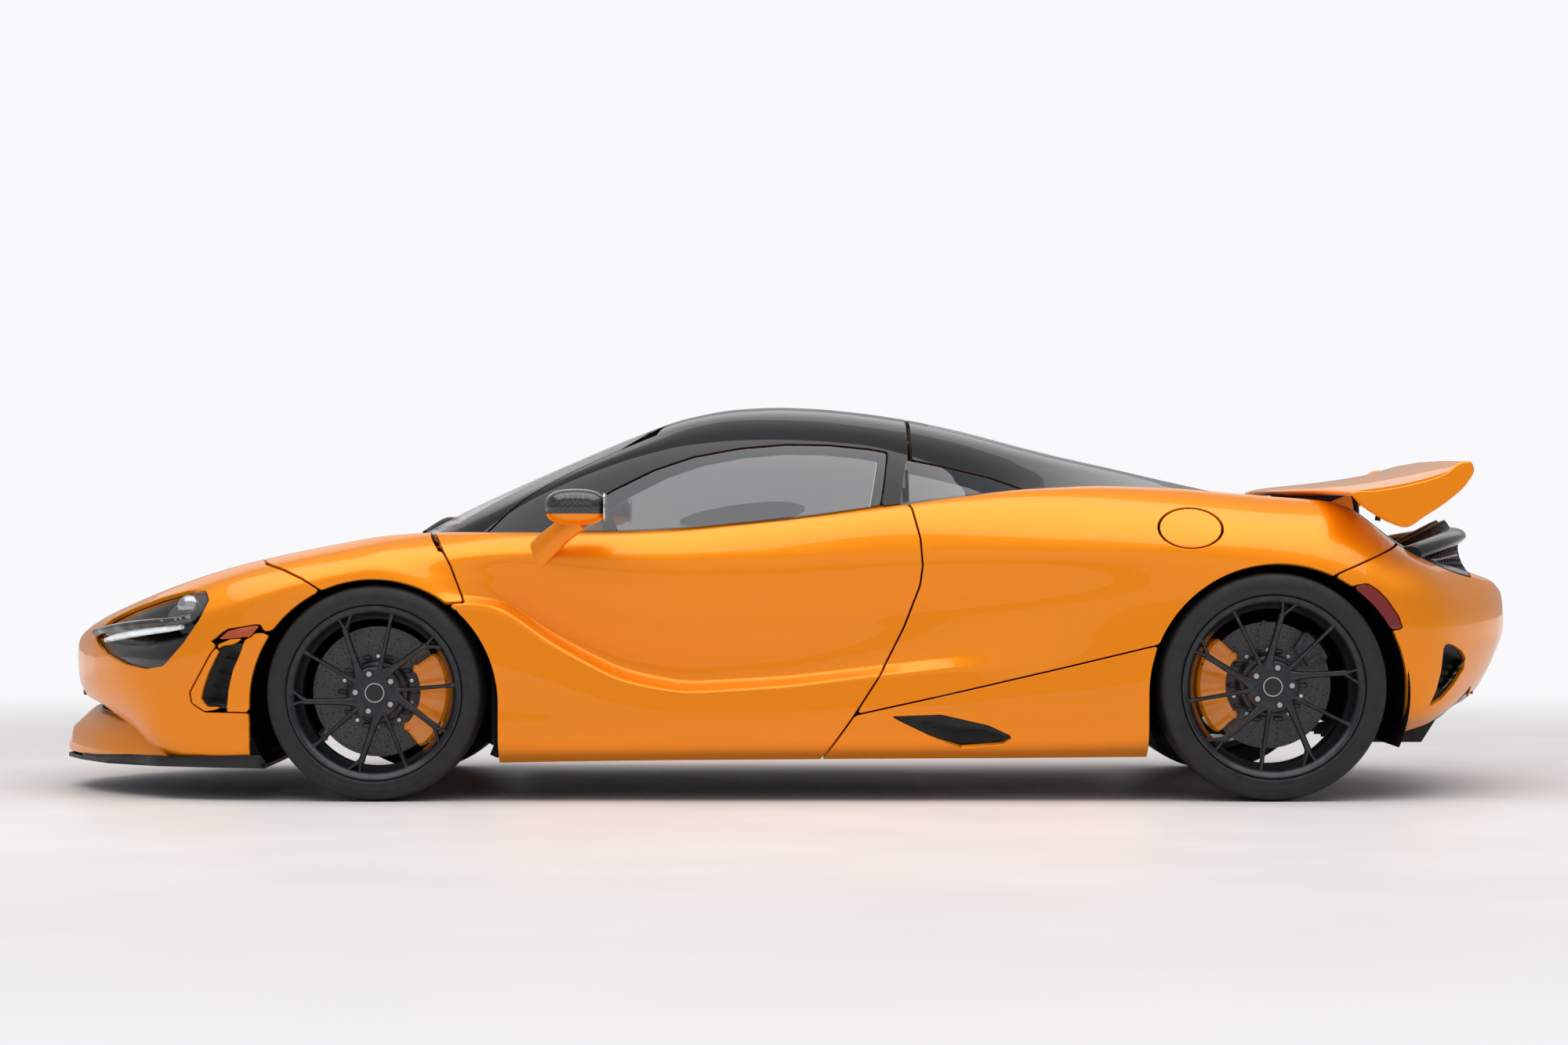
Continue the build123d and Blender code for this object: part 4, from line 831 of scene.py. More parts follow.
def strand(centre, start, end, widths, faces, depth, count=14):
    """One spoke: superellipse sections between two (radius, angle) places in the wheel's plane. Its half
    width and its face's depth follow their own lists along the way."""
    p0, p1 = (radius * np.array([math.cos(math.radians(angle)), math.sin(math.radians(angle))])
              for radius, angle in (start, end))
    s = np.linspace(0, 1, count)
    middle = p0 + (p1 - p0) * s[:, None]
    along = (p1 - p0) / np.linalg.norm(p1 - p0)
    side = np.array([-along[1], along[0]])
    half = np.interp(s, *np.array(widths).T)
    face = np.interp(s, *np.array(faces).T)
    t = np.linspace(0, 2 * np.pi, 20, endpoint=False)
    across = half[:, None] * power(np.cos(t), 0.55)
    deep = face[:, None] + depth / 2 + depth / 2 * power(np.sin(t), 0.7)
    x = centre[0] + middle[:, :1] + side[0] * across
    z = centre[2] + middle[:, 1:] + side[1] * across
    return loft(np.stack([x, centre[1] + deep, z], axis=2))


def copies(mesh, places):
    """A small mesh set at several places, as whole arrays."""
    verts, _, faces = mesh
    places = np.array(places, float)
    many = (verts[None] + places[:, None]).reshape(-1, 3)
    return many, None, [[v + k * len(verts) for v in face] for k in range(len(places)) for face in faces]


def round_places(radius, degrees, y):
    """Places on a circle about the Y line, at the given angles."""
    t = np.radians(np.atleast_1d(degrees))
    radius = np.broadcast_to(radius, t.shape)
    return np.stack([radius * np.cos(t), np.full(t.shape, y), radius * np.sin(t)], axis=1)


def pin(radius, length, sides=14):
    """A short round pin along Y, with a chamfered face."""
    profile = [(0, 0.01), (0, radius - 0.8), (0.8, radius), (length, radius), (length, 0.01)]
    return lathe(profile, (0, 0, 0), sides)


def axle_place(wheel):
    """The centre of the left wheel."""
    return np.array([wheel["x"], -wheel["y"], wheel["radius"]])


def rim_mesh(wheel):
    """Rim of the left wheel as (mesh, finish number) pairs: barrel, hub, five forked and five plain spokes,
    the bolts on black discs painted as the shade of their wells, and the blank cap in its ring. lip is how
    far the rim's outer face lies from the centre, and flange its radius."""
    half, seat, flange, first = wheel["width"] / 2, wheel["seat"], wheel["flange"], wheel["spoke"]
    centre, lip, tip = axle_place(wheel), -half + 8, flange - 9
    barrel = lathe([(lip, flange - 9), (lip - 3, flange - 4), (lip - 1.5, flange), (lip + 4, flange),
                    (lip + 8, flange - 3), (lip + 13, seat + 2), (half - 24, seat + 2),
                    (half - 16, seat + 12), (half - 10, seat + 12), (half - 9, seat - 8), (30, seat - 20),
                    (lip + 60, seat - 22), (lip + 20, seat - 8), (lip + 6, flange - 18)], centre, 120)
    hub = lathe([(lip + 30, 0.01), (lip + 30, 34), (lip + 29, 46), (lip + 30, 66), (lip + 36, 76),
                 (lip + 58, 82), (lip + 84, 80), (lip + 84, 0.01)], centre, 72)
    metal = [barrel, hub]
    dish = [(0, lip + 30), (0.35, lip + 25), (0.8, lip + 11), (1, lip + 5)]
    for k in range(5):
        main = first + FIFTH * k
        metal.append(strand(centre, (52, main + 29.5), (0.8 * tip + 10, main + 4.5),
                            [(0, 22), (0.2, 13), (0.5, 9.5), (0.85, 9), (1, 10)], dish, 34))
        for turn in (-5.2, 5.2):
            metal.append(strand(centre, (0.8 * tip + 4, main + 4.3), (tip, main + turn),
                                [(0, 8), (0.5, 5.2), (1, 7)], [(0, lip + 11), (1, lip + 5)], 32, 8))
        metal.append(strand(centre, (56, main + 40), (tip, main + 39),
                            [(0, 10), (0.15, 7), (0.8, 6), (1, 8.5)], dish, 30))
    bolts = first - 3.5 + FIFTH * np.arange(5)
    # flat black discs standing proud of the hub: painted shade for the bolt wells
    well_shade = copies(pin(14.5, 4, 20), centre + round_places(58, bolts, lip + 28.4))
    heads = copies(pin(9.0, 6, 6), centre + round_places(58, bolts, lip + 26.0))
    face = centre + np.array([0, lip, 0])
    cap = lathe([(22, 0.01), (22.4, 14), (24, 26), (31, 28), (31, 0.01)], face, 48)
    ring = lathe([(22.6, 26), (22.2, 27.5), (22.6, 29), (31, 30), (31, 26)], face, 48)
    return [(merged(metal), 0), (well_shade, 1), (heads, 2), (cap, 1), (ring, 2)]


def brake_mesh(wheel):
    """Disc of the left wheel as (mesh, finish number) pairs: two faces and the vent between them, a spiral of
    black discs painted as the shade inside the drillings, the bell, and the bobbins and webs that hold the
    disc to it."""
    centre, lip, r = axle_place(wheel), -wheel["width"] / 2 + 8, wheel["disc_r"]
    faces = [(22, 98), (22, r), (36, r), (36, r - 8), (42, r - 8), (42, r), (56, r), (56, 98)]
    disc = lathe(faces, centre, 96)
    fan, row = np.meshgrid(np.arange(24), np.arange(5), indexing="ij")
    spots = round_places((116 + 17.0 * row).ravel(), (15 * fan + 5.5 * row + 7.5 * (row % 2)).ravel(), 21.8)
    # black discs standing on the disc's face: painted shade for the drillings
    drilling_shade = copies(pin(3.2, 1, 8), centre + spots)
    bell = lathe([(lip + 84, 34), (lip + 84, 72), (lip + 94, 90), (20, 96), (20, 100), (30, 100), (30, 34)],
                 centre, 72)
    bobbins = copies(pin(6.5, 8, 12), centre + round_places(106, 18 + 36 * np.arange(10), 16.0))
    webs = copies(cushion((0, 0, 0), (15, 5, 7), 0.6, 0.6, 8, 14),
                  centre + round_places(106, 36 * np.arange(10), 19.0))
    return [(disc, 0), (drilling_shade, 1), (bell, 2), (bobbins, 3), (webs, 2)]


def build_wheels(options):
    """Tyres, rims and discs, made on the left and mirrored to the right."""
    for end, wheel in WHEELS.items():
        rides, rim_node = f"wheel_{end}_SIDE", f"rim_{end}_SIDE"
        rim, slots = painted(rim_mesh(wheel))
        brake, brake_slots = painted(brake_mesh(wheel))
        tyre = lathe(tyre_profile(wheel), axle_place(wheel), 144)
        both(f"tyre_{end}_SIDE_skin", tyre, "tyre_rubber", rides, f"tyre_{end}_SIDE")
        both(f"{rim_node}_skin", rim, ["wheel_lacquer", "black_trim", "cast_alloy"], rides, rim_node,
             slots=slots)
        both(f"disc_{end}_SIDE", brake, ["ceramic_disc", "black_trim", "dark_steel", "bright_steel"], rides,
             rim_node, slots=brake_slots)


def caliper_mesh(wheel, low, high, inner, outer, bulge=5.0):
    """A caliper: a U section that straddles the disc, carried round the axle, with its outer face waved by
    the piston bores and its ends drawn in."""
    centre = axle_place(wheel)
    t = np.linspace(0, 1, 44)
    angle = np.radians(low + (high - low) * t)[:, None]
    ends = np.clip(np.minimum(t, 1 - t) / 0.08, 0, 1)[:, None] ** 0.5
    wave = bulge * np.abs(np.sin(3 * np.pi * t))[:, None] ** 0.7
    shape = np.array([(-12, inner), (17, inner), (17, outer - 18), (61, outer - 18), (61, inner), (86, inner),
                      (90, inner + 8), (90, outer - 10), (82, outer), (-4, outer), (-12, outer - 10)], float)
    front = (shape[:, 0] < 0)[None, :]
    a = shape[:, 0][None, :] - front * wave
    middle = (inner + outer) / 2
    r = middle + (shape[:, 1][None, :] - middle) * (0.75 + 0.25 * ends)
    return loft(centre + np.stack([r * np.cos(angle), a + 0 * r, r * np.sin(angle)], axis=2))


def build_brakes(options):
    """Calipers with their bolts and lugs, and the small parking calipers at the rear."""
    for end, rides, node in (("front", "steer_SIDE", "caliper_front_SIDE"),
                             ("rear", "root", "calipers_rear")):
        wheel = WHEELS[end]
        low, high = wheel["caliper"]
        centre = axle_place(wheel)
        block = caliper_mesh(wheel, low, high, 130.0, 215.0)
        bolts = copies(pin(6, 10, 6), centre + round_places(206, np.linspace(low + 7, high - 7, 5), -13))
        lugs = copies(cushion((0, 0, 0), (13, 8, 13), 0.6, 0.6, 8, 16),
                      centre + round_places(138, [low + 4, high - 4], -9))
        mesh, slots = painted([(merged([block, lugs]), 0), (bolts, 1)])
        both(f"caliper_{end}_SIDE_skin", mesh, ["caliper_enamel", "dark_steel"], rides, node, slots=slots)
    both("parking_caliper_SIDE", caliper_mesh(WHEELS["rear"], 24.0, 56.0, 132.0, 206.0, 3.0), "dark_steel")


def build_liners(options):
    """Felt arch liners: a wide barrel inboard and a narrower collar behind the arch's edge."""
    for end, wheel in WHEELS.items():
        cx, cz, r = wheel["arch"]
        inner, stand_off = wheel["liner"]
        wide = r + stand_off
        profile = [(-898, r + 8), (-898, wide), (-inner, wide), (-inner, 120), (-inner + 6, 120),
                   (-inner + 6, wide + 5), (-904, wide + 5), (-904, r + 8)]
        liner = lathe(profile, (cx, 0, cz), 72, -24.0, 228.0)
        both(f"arch_liner_{end}_SIDE", liner, "arch_felt")


# ---- surface fittings -----------------------------------------------------------------------------
POCKET_RIM = 14.0          # how far below the skin a pocket starts


def pocket(s, distance, depth, width):
    """A bowl behind an opening of surface s: it starts just below the skin and falls to depth over width."""
    points, normals, faces = cut_grid(s.grid, s.normals, distance - 6)
    inside = cut_grid(np.repeat(-distance[..., None], 3, axis=2), s.normals, distance - 6)[0][:, 0]
    share = eased(np.clip(inside / width, 0, 1))
    return points - normals * (POCKET_RIM + (depth - POCKET_RIM) * share)[:, None], normals, faces


def side_y(x, z):
    """The body's half width at side-view places, read along the nearest section between sill and crest."""
    low, high = SAMPLES[0], CREST
    rows = np.abs(body.x[:, 0][None, :] - np.atleast_1d(x)[:, None]).argmin(axis=1)
    zs, ys = body.z[rows, low:high], -body.y[rows, low:high]
    place = np.abs(zs - np.atleast_1d(z)[:, None]).argmin(axis=1)
    return ys[np.arange(len(rows)), place]


def on_side(path, inset):
    """A side-view path carried onto the left flank, inset below it."""
    x, z = np.array(path, float).T
    return np.stack([x, -side_y(x, z) + inset, z], axis=1)


def build_lamps(options):
    """Headlamps: gloss black sockets with a light bar, a projector behind a clear lens, and the side
    markers."""
    bowl = pocket(body, flank_of(body, LAMP, 300), 95.0, 60.0)
    lens = cut_panel(body, flank_of(body, LENS, 300), seam=1, depth=5)
    light_line = [(-2078, 470), (-2020, 484), (-1940, 498), (-1860, 510), (-1806, 517)]
    shelf_line = [(-2092, 492), (-2010, 510), (-1920, 522), (-1820, 532), (-1776, 540)]
    light = on_side(curve_through(light_line, 8), 34.0)
    shelf = on_side(curve_through(shelf_line, 8), 40.0)
    width = np.interp(np.linspace(0, 1, len(light)), (0, 0.2, 0.8, 1), (7, 11, 11, 8))
    projector = cushion((-1790, float(-side_y(-1790, 580)[0]) + 52, 578), (38, 30, 34), 1.0, 1.0)
    both("lamp_bowl_SIDE", bowl, "lamp_bowl", replaces="headlamps")
    both("lamp_shelf_SIDE", bar(shelf, 17.0, 14, 2.2), "lamp_bowl", replaces="headlamps")
    both("light_bar_SIDE", bar(light, width, 14, 1.3), "white_light", replaces="headlamps")
    both("projector_SIDE", projector, "bright_steel", replaces="headlamps", slot="lamp")
    both("lamp_lens_SIDE", lens, "clear_lens", replaces="headlamps")
    for end, outline, finish in (("front", MARKER, "amber_lens"), ("rear", REAR_MARKER, "red_lens")):
        mark = region(flank_of(body, outline, 600), arch_distance(body, WHEELS["rear"]))
        both(f"{end}_marker_SIDE", cut_panel(body, mark, seam=1.5, depth=8), finish)


def lip_rings():
    """Sections of the lower lip across the car: tip, raised front, rolled top edge and the dished inside."""
    y = np.linspace(-800, 800, 81)
    tip, top_x, top_z, low = (smoothed(np.interp(np.abs(y), LIP[:, 0], LIP[:, k])[:, None], 20, 36)[:, 0]
                              for k in (1, 2, 3, 4))
    profile = [(tip + 20, low), (tip + 2, low + 8), (tip, low + 26), (tip + 14, 0.45 * low + 0.55 * top_z),
               (top_x - 22, top_z - 14), (top_x - 4, top_z), (top_x + 12, top_z - 4),
               (top_x + 16, top_z - 26), (tip + 74, 0.6 * low + 0.4 * top_z), (tip + 120, low + 34),
               (tip + 230, low + 26), (tip + 240, low)]
    return np.stack([np.stack([x, y, z + 0 * y], axis=1) for x, z in profile], axis=1)


def blade_rings():
    """Sections of the left splitter blade along the car: it follows the sill or the lip, whichever is
    wider."""
    x = np.linspace(-2185, -1566, 40)
    edge = np.maximum(np.interp(x, BODY[:, 0], BODY[:, 3]), np.interp(-x, -LIP[::-1, 1], LIP[::-1, 0]))
    top = np.interp(x, (-2185, -2000, -1800, -1566), (112, 126, 130, 136))
    base = np.interp(x, (-2185, -1900, -1566), (104, 99, 97))
    rows = [(edge + 3, top), (edge + 7, (top + base) / 2), (edge + 1, base), (edge - 150, base),
            (edge - 150, base + 8), (edge - 12, top)]
    return np.stack([np.stack([x, -y, z], axis=1) for y, z in rows], axis=1)


def build_nose_parts(options):
    """Lower lip, splitter blades, mouth grille, and the side vents with their painted surrounds and
    vanes."""
    put("nose_lip", loft(lip_rings()), "amber_paint", replaces="front_bumper", bevel=3.0)
    grille = slab(((-2010, 112), (-2010, 330), (-1990, 330), (-1990, 112)), -600, 600)
    put("mouth_grille", grille, "black_trim")
    both("splitter_blade_SIDE", loft(blade_rings()), "black_trim")
    surround = region(flank_of(body, VENT_PANEL, 500), -side_of(body, SIDE_VENT), -side_of(body, MARKER),
                      arch_distance(body, WHEELS["front"]))
    vanes = [bar(on_side(((-1728 + 20 * k, 300 + 42 * k), (-1668 + 16 * k, 290 + 42 * k)), 34.0), 4.0, 8, 2.6)
             for k in range(4)]
    both("side_vent_SIDE", pocket(body, flank_of(body, SIDE_VENT, 500), 85.0, 26.0), "black_trim")
    both("vent_panel_SIDE", cut_panel(body, surround, seam=2.5), "amber_paint", replaces="front_bumper")
    both("vent_vanes_SIDE", merged(vanes), "black_trim")


# ---- doors' fittings ------------------------------------------------------------------------------
def build_mirrors(options):
    """Door mirrors: a twill cap over a painted lower half, a broad painted arm and the glass that looks
    back."""
    centre = (-622.0, -992.0, 874.0)
    head = cushion(centre, (92, 76, 54), 0.75, 0.8, 30, 60)
    middles = np.array([head[0][face].mean(axis=0) for face in head[2]])
    lower = (middles[:, 2] < centre[2] - 20).astype(int).tolist()
    path = curve_through([(-760, -858, 712), (-722, -888, 752), (-672, -918, 796), (-612, -958, 838)], 8)
    arm = bar(path, np.interp(np.linspace(0, 1, len(path)), (0, 0.5, 1), (50, 40, 34)), 24, 0.5)
    glass = cushion((-536, -992, 874), (5, 62, 42), 0.4, 0.4, 14, 30)
    both("mirror_head_SIDE", head, ["carbon_twill", "amber_paint"], "door_SIDE", "mirror_SIDE", slots=lower)
    both("mirror_arm_SIDE", arm, "amber_paint", "door_SIDE", "mirror_SIDE")
    both("mirror_glass_SIDE", glass, "mirror_silver", "door_SIDE", "mirror_SIDE")


def build_door_cards(options):
    """Padded inner door trim: a dark card with a lighter arm rest and a pull."""
    outline = curve_through([(-850, 430), (-905, 560), (-905, 690), (-840, 752), (-400, 762), (240, 772),
                             (318, 720), (312, 600), (240, 440), (-300, 422)], 8, closed=True)
    rest = curve_through([(-640, 560), (-560, 596), (-200, 590), (60, 560), (40, 520), (-300, 516),
                          (-600, 530)], 8, closed=True)
    pull = bar([(-560, -764, 640), (-480, -744, 660), (-380, -740, 664), (-300, -764, 648)], 9.0)
    both("door_card_SIDE", merged([slab(outline, -806, -782, 8), pull]), "black_leather", "door_SIDE")
    both("arm_rest_SIDE", slab(rest, -784, -748, 12), "amber_leather", "door_SIDE")


# ---- rear pieces ----------------------------------------------------------------------------------
MESH_HALF, MESH_TALL = 672.0, 122.0     # half width and height of the tail's mesh


def wing_rings():
    """Wing sections across the car. Between leading and trailing edge the camber line rises with the 2.1th
    power of the chord share, and the half thickness is 1.5 T sqrt(t) (1 - t) above and below it."""
    y = np.concatenate([np.linspace(-918, -860, 8), np.linspace(-840, 840, 57), np.linspace(860, 918, 8)])
    span = np.abs(y)[:, None]
    lead_x = np.interp(span, (0, 300, 500, 700, 860, 918), (1483, 1500, 1532, 1596, 1664, 1684))
    lead_z = np.interp(span, (0, 700, 918), (926, 922, 915))
    trail_x = np.interp(span, (0, 500, 860, 918), (2026, 2030, 2034, 2032))
    trail_z = np.interp(span, (0, 500, 860, 918), (1022, 1018, 1010, 1006))
    thick = np.interp(span, (0, 700, 918), (30, 27, 20))
    t = (1 - np.cos(np.linspace(0, np.pi, 19))) / 2
    camber = lead_z + (trail_z - lead_z) * t**2.1
    half = 1.5 * thick * np.sqrt(t) * (1 - t) + 1.6
    x = lead_x + (trail_x - lead_x) * t
    ring_x = np.concatenate([x, x[:, -2:0:-1]], axis=1)
    ring_z = np.concatenate([camber + half, (camber - 0.8 * half)[:, -2:0:-1]], axis=1)
    return np.stack([ring_x, np.broadcast_to(y[:, None], ring_x.shape), ring_z], axis=2)


def build_wing(options):
    """Active wing with its drooped ends, hinge arms and struts."""
    put("wing_blade", loft(wing_rings()), "amber_paint", "wing", "rear_wing", bevel=1.5)
    fin = curve_through([(1682, 914), (1706, 884), (1744, 856), (1800, 826), (1846, 814), (1900, 846),
                         (1974, 896), (2030, 950), (2047, 988), (2036, 1010), (2014, 1010), (1960, 976),
                         (1860, 944), (1760, 926)], 6, closed=True)
    arm = slab(((1544, 874), (1566, 884), (1604, 920), (1764, 922), (1700, 896), (1580, 846), (1552, 846)),
               -340, -320, 3)
    line = [(1856, -250, 836), (1860, -250, 860), (1856, -250, 900), (1842, -250, 950)]
    strut = bar(curve_through(line, 6), 9.0)
    both("wing_end_SIDE", slab(fin, -921, -906, 5), "amber_paint", "wing", "rear_wing")
    both("wing_arm_SIDE", merged([arm, strut]), "black_trim", "wing", "wing_arms")


def hex_mesh(across, along, size, wall):
    """A honeycomb in the (u, v) plane: each cell is the band between two hexagons of the same centre."""
    pitch_u, pitch_v = size * 3**0.5, size * 1.5
    rows = np.arange(int(along / pitch_v))
    columns = np.arange(int(across / pitch_u))
    j, i = np.meshgrid(rows, columns, indexing="ij")
    centre = np.stack([(i + 0.5 + 0.5 * (j % 2)) * pitch_u, (j + 0.7) * pitch_v], axis=2).reshape(-1, 1, 2)
    turn = np.radians(30 + 60 * np.arange(6))
    corner = np.stack([np.cos(turn), np.sin(turn)], axis=1)
    verts = np.concatenate([centre + corner * (size + 0.4), centre + corner * (size - wall)], axis=1)
    band = np.array([[k, (k + 1) % 6, 6 + (k + 1) % 6, 6 + k] for k in range(6)])
    faces = (band[None] + 12 * np.arange(len(verts))[:, None, None]).reshape(-1, 4).tolist()
    return verts.reshape(-1, 2), faces


def grille_place(u, v):
    """The tail mesh's surface: u runs across the car from -1 to 1 and v from the bumper's edge up to the
    blade. Its ends wrap forwards with the 2.6th power of u, and the middle of its height is dished."""
    t = np.abs(u)
    foot_x, foot_z = 2190 - 266 * t**2.6, 636 + 72 * t**3
    head_x, head_z = 2122 - 200 * t**2.6, 768 - 58 * t**3
    x = foot_x + (head_x - foot_x) * v - 22 * np.sin(np.pi * v) * (1 - 0.6 * t)
    return np.stack([x, MESH_HALF * u, foot_z + (head_z - foot_z) * v], axis=-1)


def tail_blade_rings():
    """Sections of the blade over the mesh: flattened ovals on a line that sweeps forwards and down
    outboard."""
    y = np.linspace(-700, 700, 71)
    t = np.abs(y) / 700
    line = np.stack([2108 - 222 * t**2.5, y, 792 - 58 * t**2.6], axis=1)
    turn = np.linspace(0, 2 * np.pi, 18, endpoint=False)
    wide, tall = (44 - 8 * t)[:, None] * power(np.cos(turn), 0.9), 22 * power(np.sin(turn), 0.9)
    return line[:, None] + np.stack([wide - 0.5 * tall, 0 * wide, 0.16 * wide + tall], axis=2)


def build_pipes(options):
    """Tail pipes beside the middle, rising rearwards, each capped by a black disc painted as the shade of its
    bore.
    """
    along = np.array([175.0, 0.0, 90.0]) / 196.8
    foot, tip = np.array([1937.0, -78, 705]), np.array([2114.0, -78, 796])
    path = foot + (tip - foot) * np.linspace(0, 1, 12)[:, None]
    outer = bar(path, np.concatenate([np.full(11, 50.0), [48.5]]), 40)
    # a black plug whose end stands just proud of the pipe's end: painted shade for the bore
    inner = bar(np.array([tip + along * 0.5, tip - along * 70]), 44.0, 40)
    both("tail_pipe_SIDE", outer, "heat_titanium", replaces="exhaust")
    both("tail_pipe_bore_SIDE", inner, "black_trim", replaces="exhaust", slot="exhaust")


def build_tail(options):
    """Mesh and a dark sheet behind it painted as the shade of the space there, blade, lamp slits, and the
    side outlets and skirts' intakes.
    """
    flat, cells = hex_mesh(2 * MESH_HALF, MESH_TALL, 13.0, 3.4)
    verts = grille_place(flat[:, 0] / MESH_HALF - 1, np.clip(flat[:, 1] / MESH_TALL, 0, 1))
    put("tail_mesh", (verts, None, cells), "black_trim", replaces="rear_grille", thick=3.0)
    # a near-black sheet behind the mesh: painted shade for the dark space behind it
    u, v = np.meshgrid(np.linspace(-1, 1, 61), np.linspace(-0.1, 1.1, 9), indexing="ij")
    back = grille_place(u, v) - np.array([34, 0, 8])
    put("tail_cavity_shade", (back.reshape(-1, 3), None, grid_faces(61, 9)), "arch_felt", thick=2.0)
    put("tail_blade", loft(tail_blade_rings()), "black_lacquer", replaces="rear_deck")
    slit = np.array([grille_place(-u, v) for u, v in ((1, 0.45), (0.86, 0.62), (0.6, 0.72))])
    vane = on_side(curve_through([(1972, 330), (2006, 372), (2040, 410)], 6), 26.0)
    both("tail_lamp_SIDE", bar(slit + np.array([6, -4, 4]), 4.0), "red_lens", replaces="tail_lamps")
    both("outlet_vane_SIDE", bar(vane, 6.0, 12, 2.4), "black_lacquer")
    for name, outline, inboard, depth, width in (("rear_outlet", REAR_SLOT, 300, 70.0, 30.0),
                                                 ("side_intake", REAR_INTAKE, 500, 90.0, 34.0)):
        both(f"{name}_SIDE", pocket(body, flank_of(body, outline, inboard), depth, width), "black_trim")


# ---- cabin ----------------------------------------------------------------------------------------
def build_seats():
    """Bucket seats: a leather base, back and head rest between bolsters, in a hard shell."""
    y = -365.0
    soft = [
        ("base", cushion((60, y, 292), (235, 150, 62), 0.55, 0.5, tilt=-7), "amber_leather", 0.7),
        ("back", cushion((258, y, 590), (62, 140, 268), 0.6, 0.55, tilt=15), "amber_leather", 0.7),
        ("head", cushion((322, y, 842), (44, 96, 84), 0.6, 0.6, tilt=12), "black_leather", 0.8),
    ]
    for name, half, tilt, x, z in (("thigh", (230, 44, 72), -7, 70, 312),
                                   ("flank", (78, 46, 246), 15, 240, 560)):
        for hand, out in (("outer", -168), ("inner", 168)):
            bolster = cushion((x, y + out, z), half, 0.7, 0.7, tilt=tilt)
            soft.append((f"{name}_{hand}", bolster, "black_leather", 0.75))
    for name, mesh, finish, fill in soft:
        for pad in both(f"driver_{name}_SIDE", mesh, finish, replaces="seats"):
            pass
    both("bucket_shell_SIDE", loft(seat_shell(y)), "bare_composite", replaces="seats")


def steering_mesh():
    """Steering wheel: a ring with a flattened foot, three spokes and the hub, square to the column."""
    centre, axis = np.array([-520.0, -360.0, 742.0]), np.array([0.927, 0, 0.375])
    across, up = np.array([0, 1.0, 0]), np.array([-0.375, 0, 0.927])
    turn = np.linspace(0, 2 * np.pi, 73)[:-1]
    radius = 172 - 14 * np.exp(-((turn - 1.5 * np.pi) / 0.5) ** 2)
    line = centre + radius[:, None] * (np.cos(turn)[:, None] * across + np.sin(turn)[:, None] * up)
    around = np.linspace(0, 2 * np.pi, 12, endpoint=False)[None, :, None]
    radial = (line - centre) / np.linalg.norm(line - centre, axis=1, keepdims=True)
    grid = line[:, None] + 15 * (np.cos(around) * radial[:, None] + np.sin(around) * axis)
    ring = (grid.reshape(-1, 3), None, grid_faces(72, 12, wrap_rows=True, wrap_columns=True))
    spokes = [bar([centre - axis * 6 + way * 20, centre - axis * 4 + way * 160], 12.0, 12, 1.8)
              for way in (across, -across, -up)]
    return merged([ring, *spokes, bar([centre - axis * 26, centre + axis * 6], 48.0, 30)])


def build_cabin(options):
    """Seats, dashboard with its screen and column, steering wheel, and the screen wipers."""
    build_seats()
    y = np.linspace(-640, 640, 65)
    bulge = 26 * np.exp(-((y + 365) / 170) ** 2)
    drop = 30 * (np.abs(y) / 640) ** 4
    profile = [(-1070, 642), (-1074, 700), (-1030, 742), (-930, 768), (-820, 778), (-730, 776), (-676, 756),
               (-660, 724), (-676, 690), (-730, 660), (-800, 642)]
    rings = [np.stack([x + 0 * y, y, z + (bulge - drop) * (z > 720)], axis=1) for x, z in profile]
    put("dash_top", loft(np.stack(rings, axis=1)), "black_leather", replaces="dashboard", bevel=6.0)
    screen = cushion((-668, 0, 690), (12, 92, 70), 0.3, 0.3, tilt=-12)
    put("dash_screen", screen, "black_lacquer", replaces="dashboard", slot="glass")
    column = bar([(-678, -360, 678), (-546, -360, 732)], 24.0)
    put("column_shroud", column, "black_trim", replaces="dashboard")
    put("steering_rim", steering_mesh(), "black_leather", "hand_wheel", "steering_wheel")
    for k, foot_y in enumerate((-300, 160)):
        x = np.array([-1128, -1088, -1066])
        y = np.array([foot_y, foot_y + 130, foot_y + 420 - 60 * k])
        z = np.interp(x, CANOPY[:, 0], CANOPY[:, -1]) + np.array([4, 10, 8]) - 60 * (y / 620) ** 2
        put(f"wiper_{k}", bar(curve_through(np.stack([x, y, z], axis=1), 8), 6.0, 10, 1.6), "black_trim")


def seat_shell(y):
    """Sections of the hard seat back, from the floor up to its head: superellipses that narrow upwards."""
    t = np.linspace(0, 1, 26)[:, None]
    turn = np.linspace(0, 2 * np.pi, 32, endpoint=False)[None]
    x = 240 + 120 * t + 22 * power(np.cos(turn), 0.6) + 26 * (1 - t)
    z = 190 + 690 * t + 0 * turn
    half = 205 - 95 * np.clip((t - 0.55) / 0.45, 0, 1) ** 1.5
    return np.stack([x, y + half * power(np.sin(turn), 0.6), z], axis=2)


# ---- frame nodes ----------------------------------------------------------------------------------
NODE_FINISHES = {
    "bare_composite": ("tub",),
    "black_trim": ("splitter", "diffuser", "luggage_bin", "wing_brackets"),
    "cast_alloy": ("knuckle_front_left", "knuckle_front_right", "knuckles_rear", "engine_block"),
    "dark_steel": ("wishbones", "drive_shafts"),
    "heat_titanium": ("exhaust",),
}


def dress_nodes(options):
    """Gives every frame node that stays in sight its own finish; the others take the black trim."""
    finish_of = {node: finish for finish, nodes in NODE_FINISHES.items() for node in nodes}
    for node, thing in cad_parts.items():
        thing.data.materials.clear()
        thing.data.materials.append(bpy.data.materials[finish_of.get(node, "black_trim")])


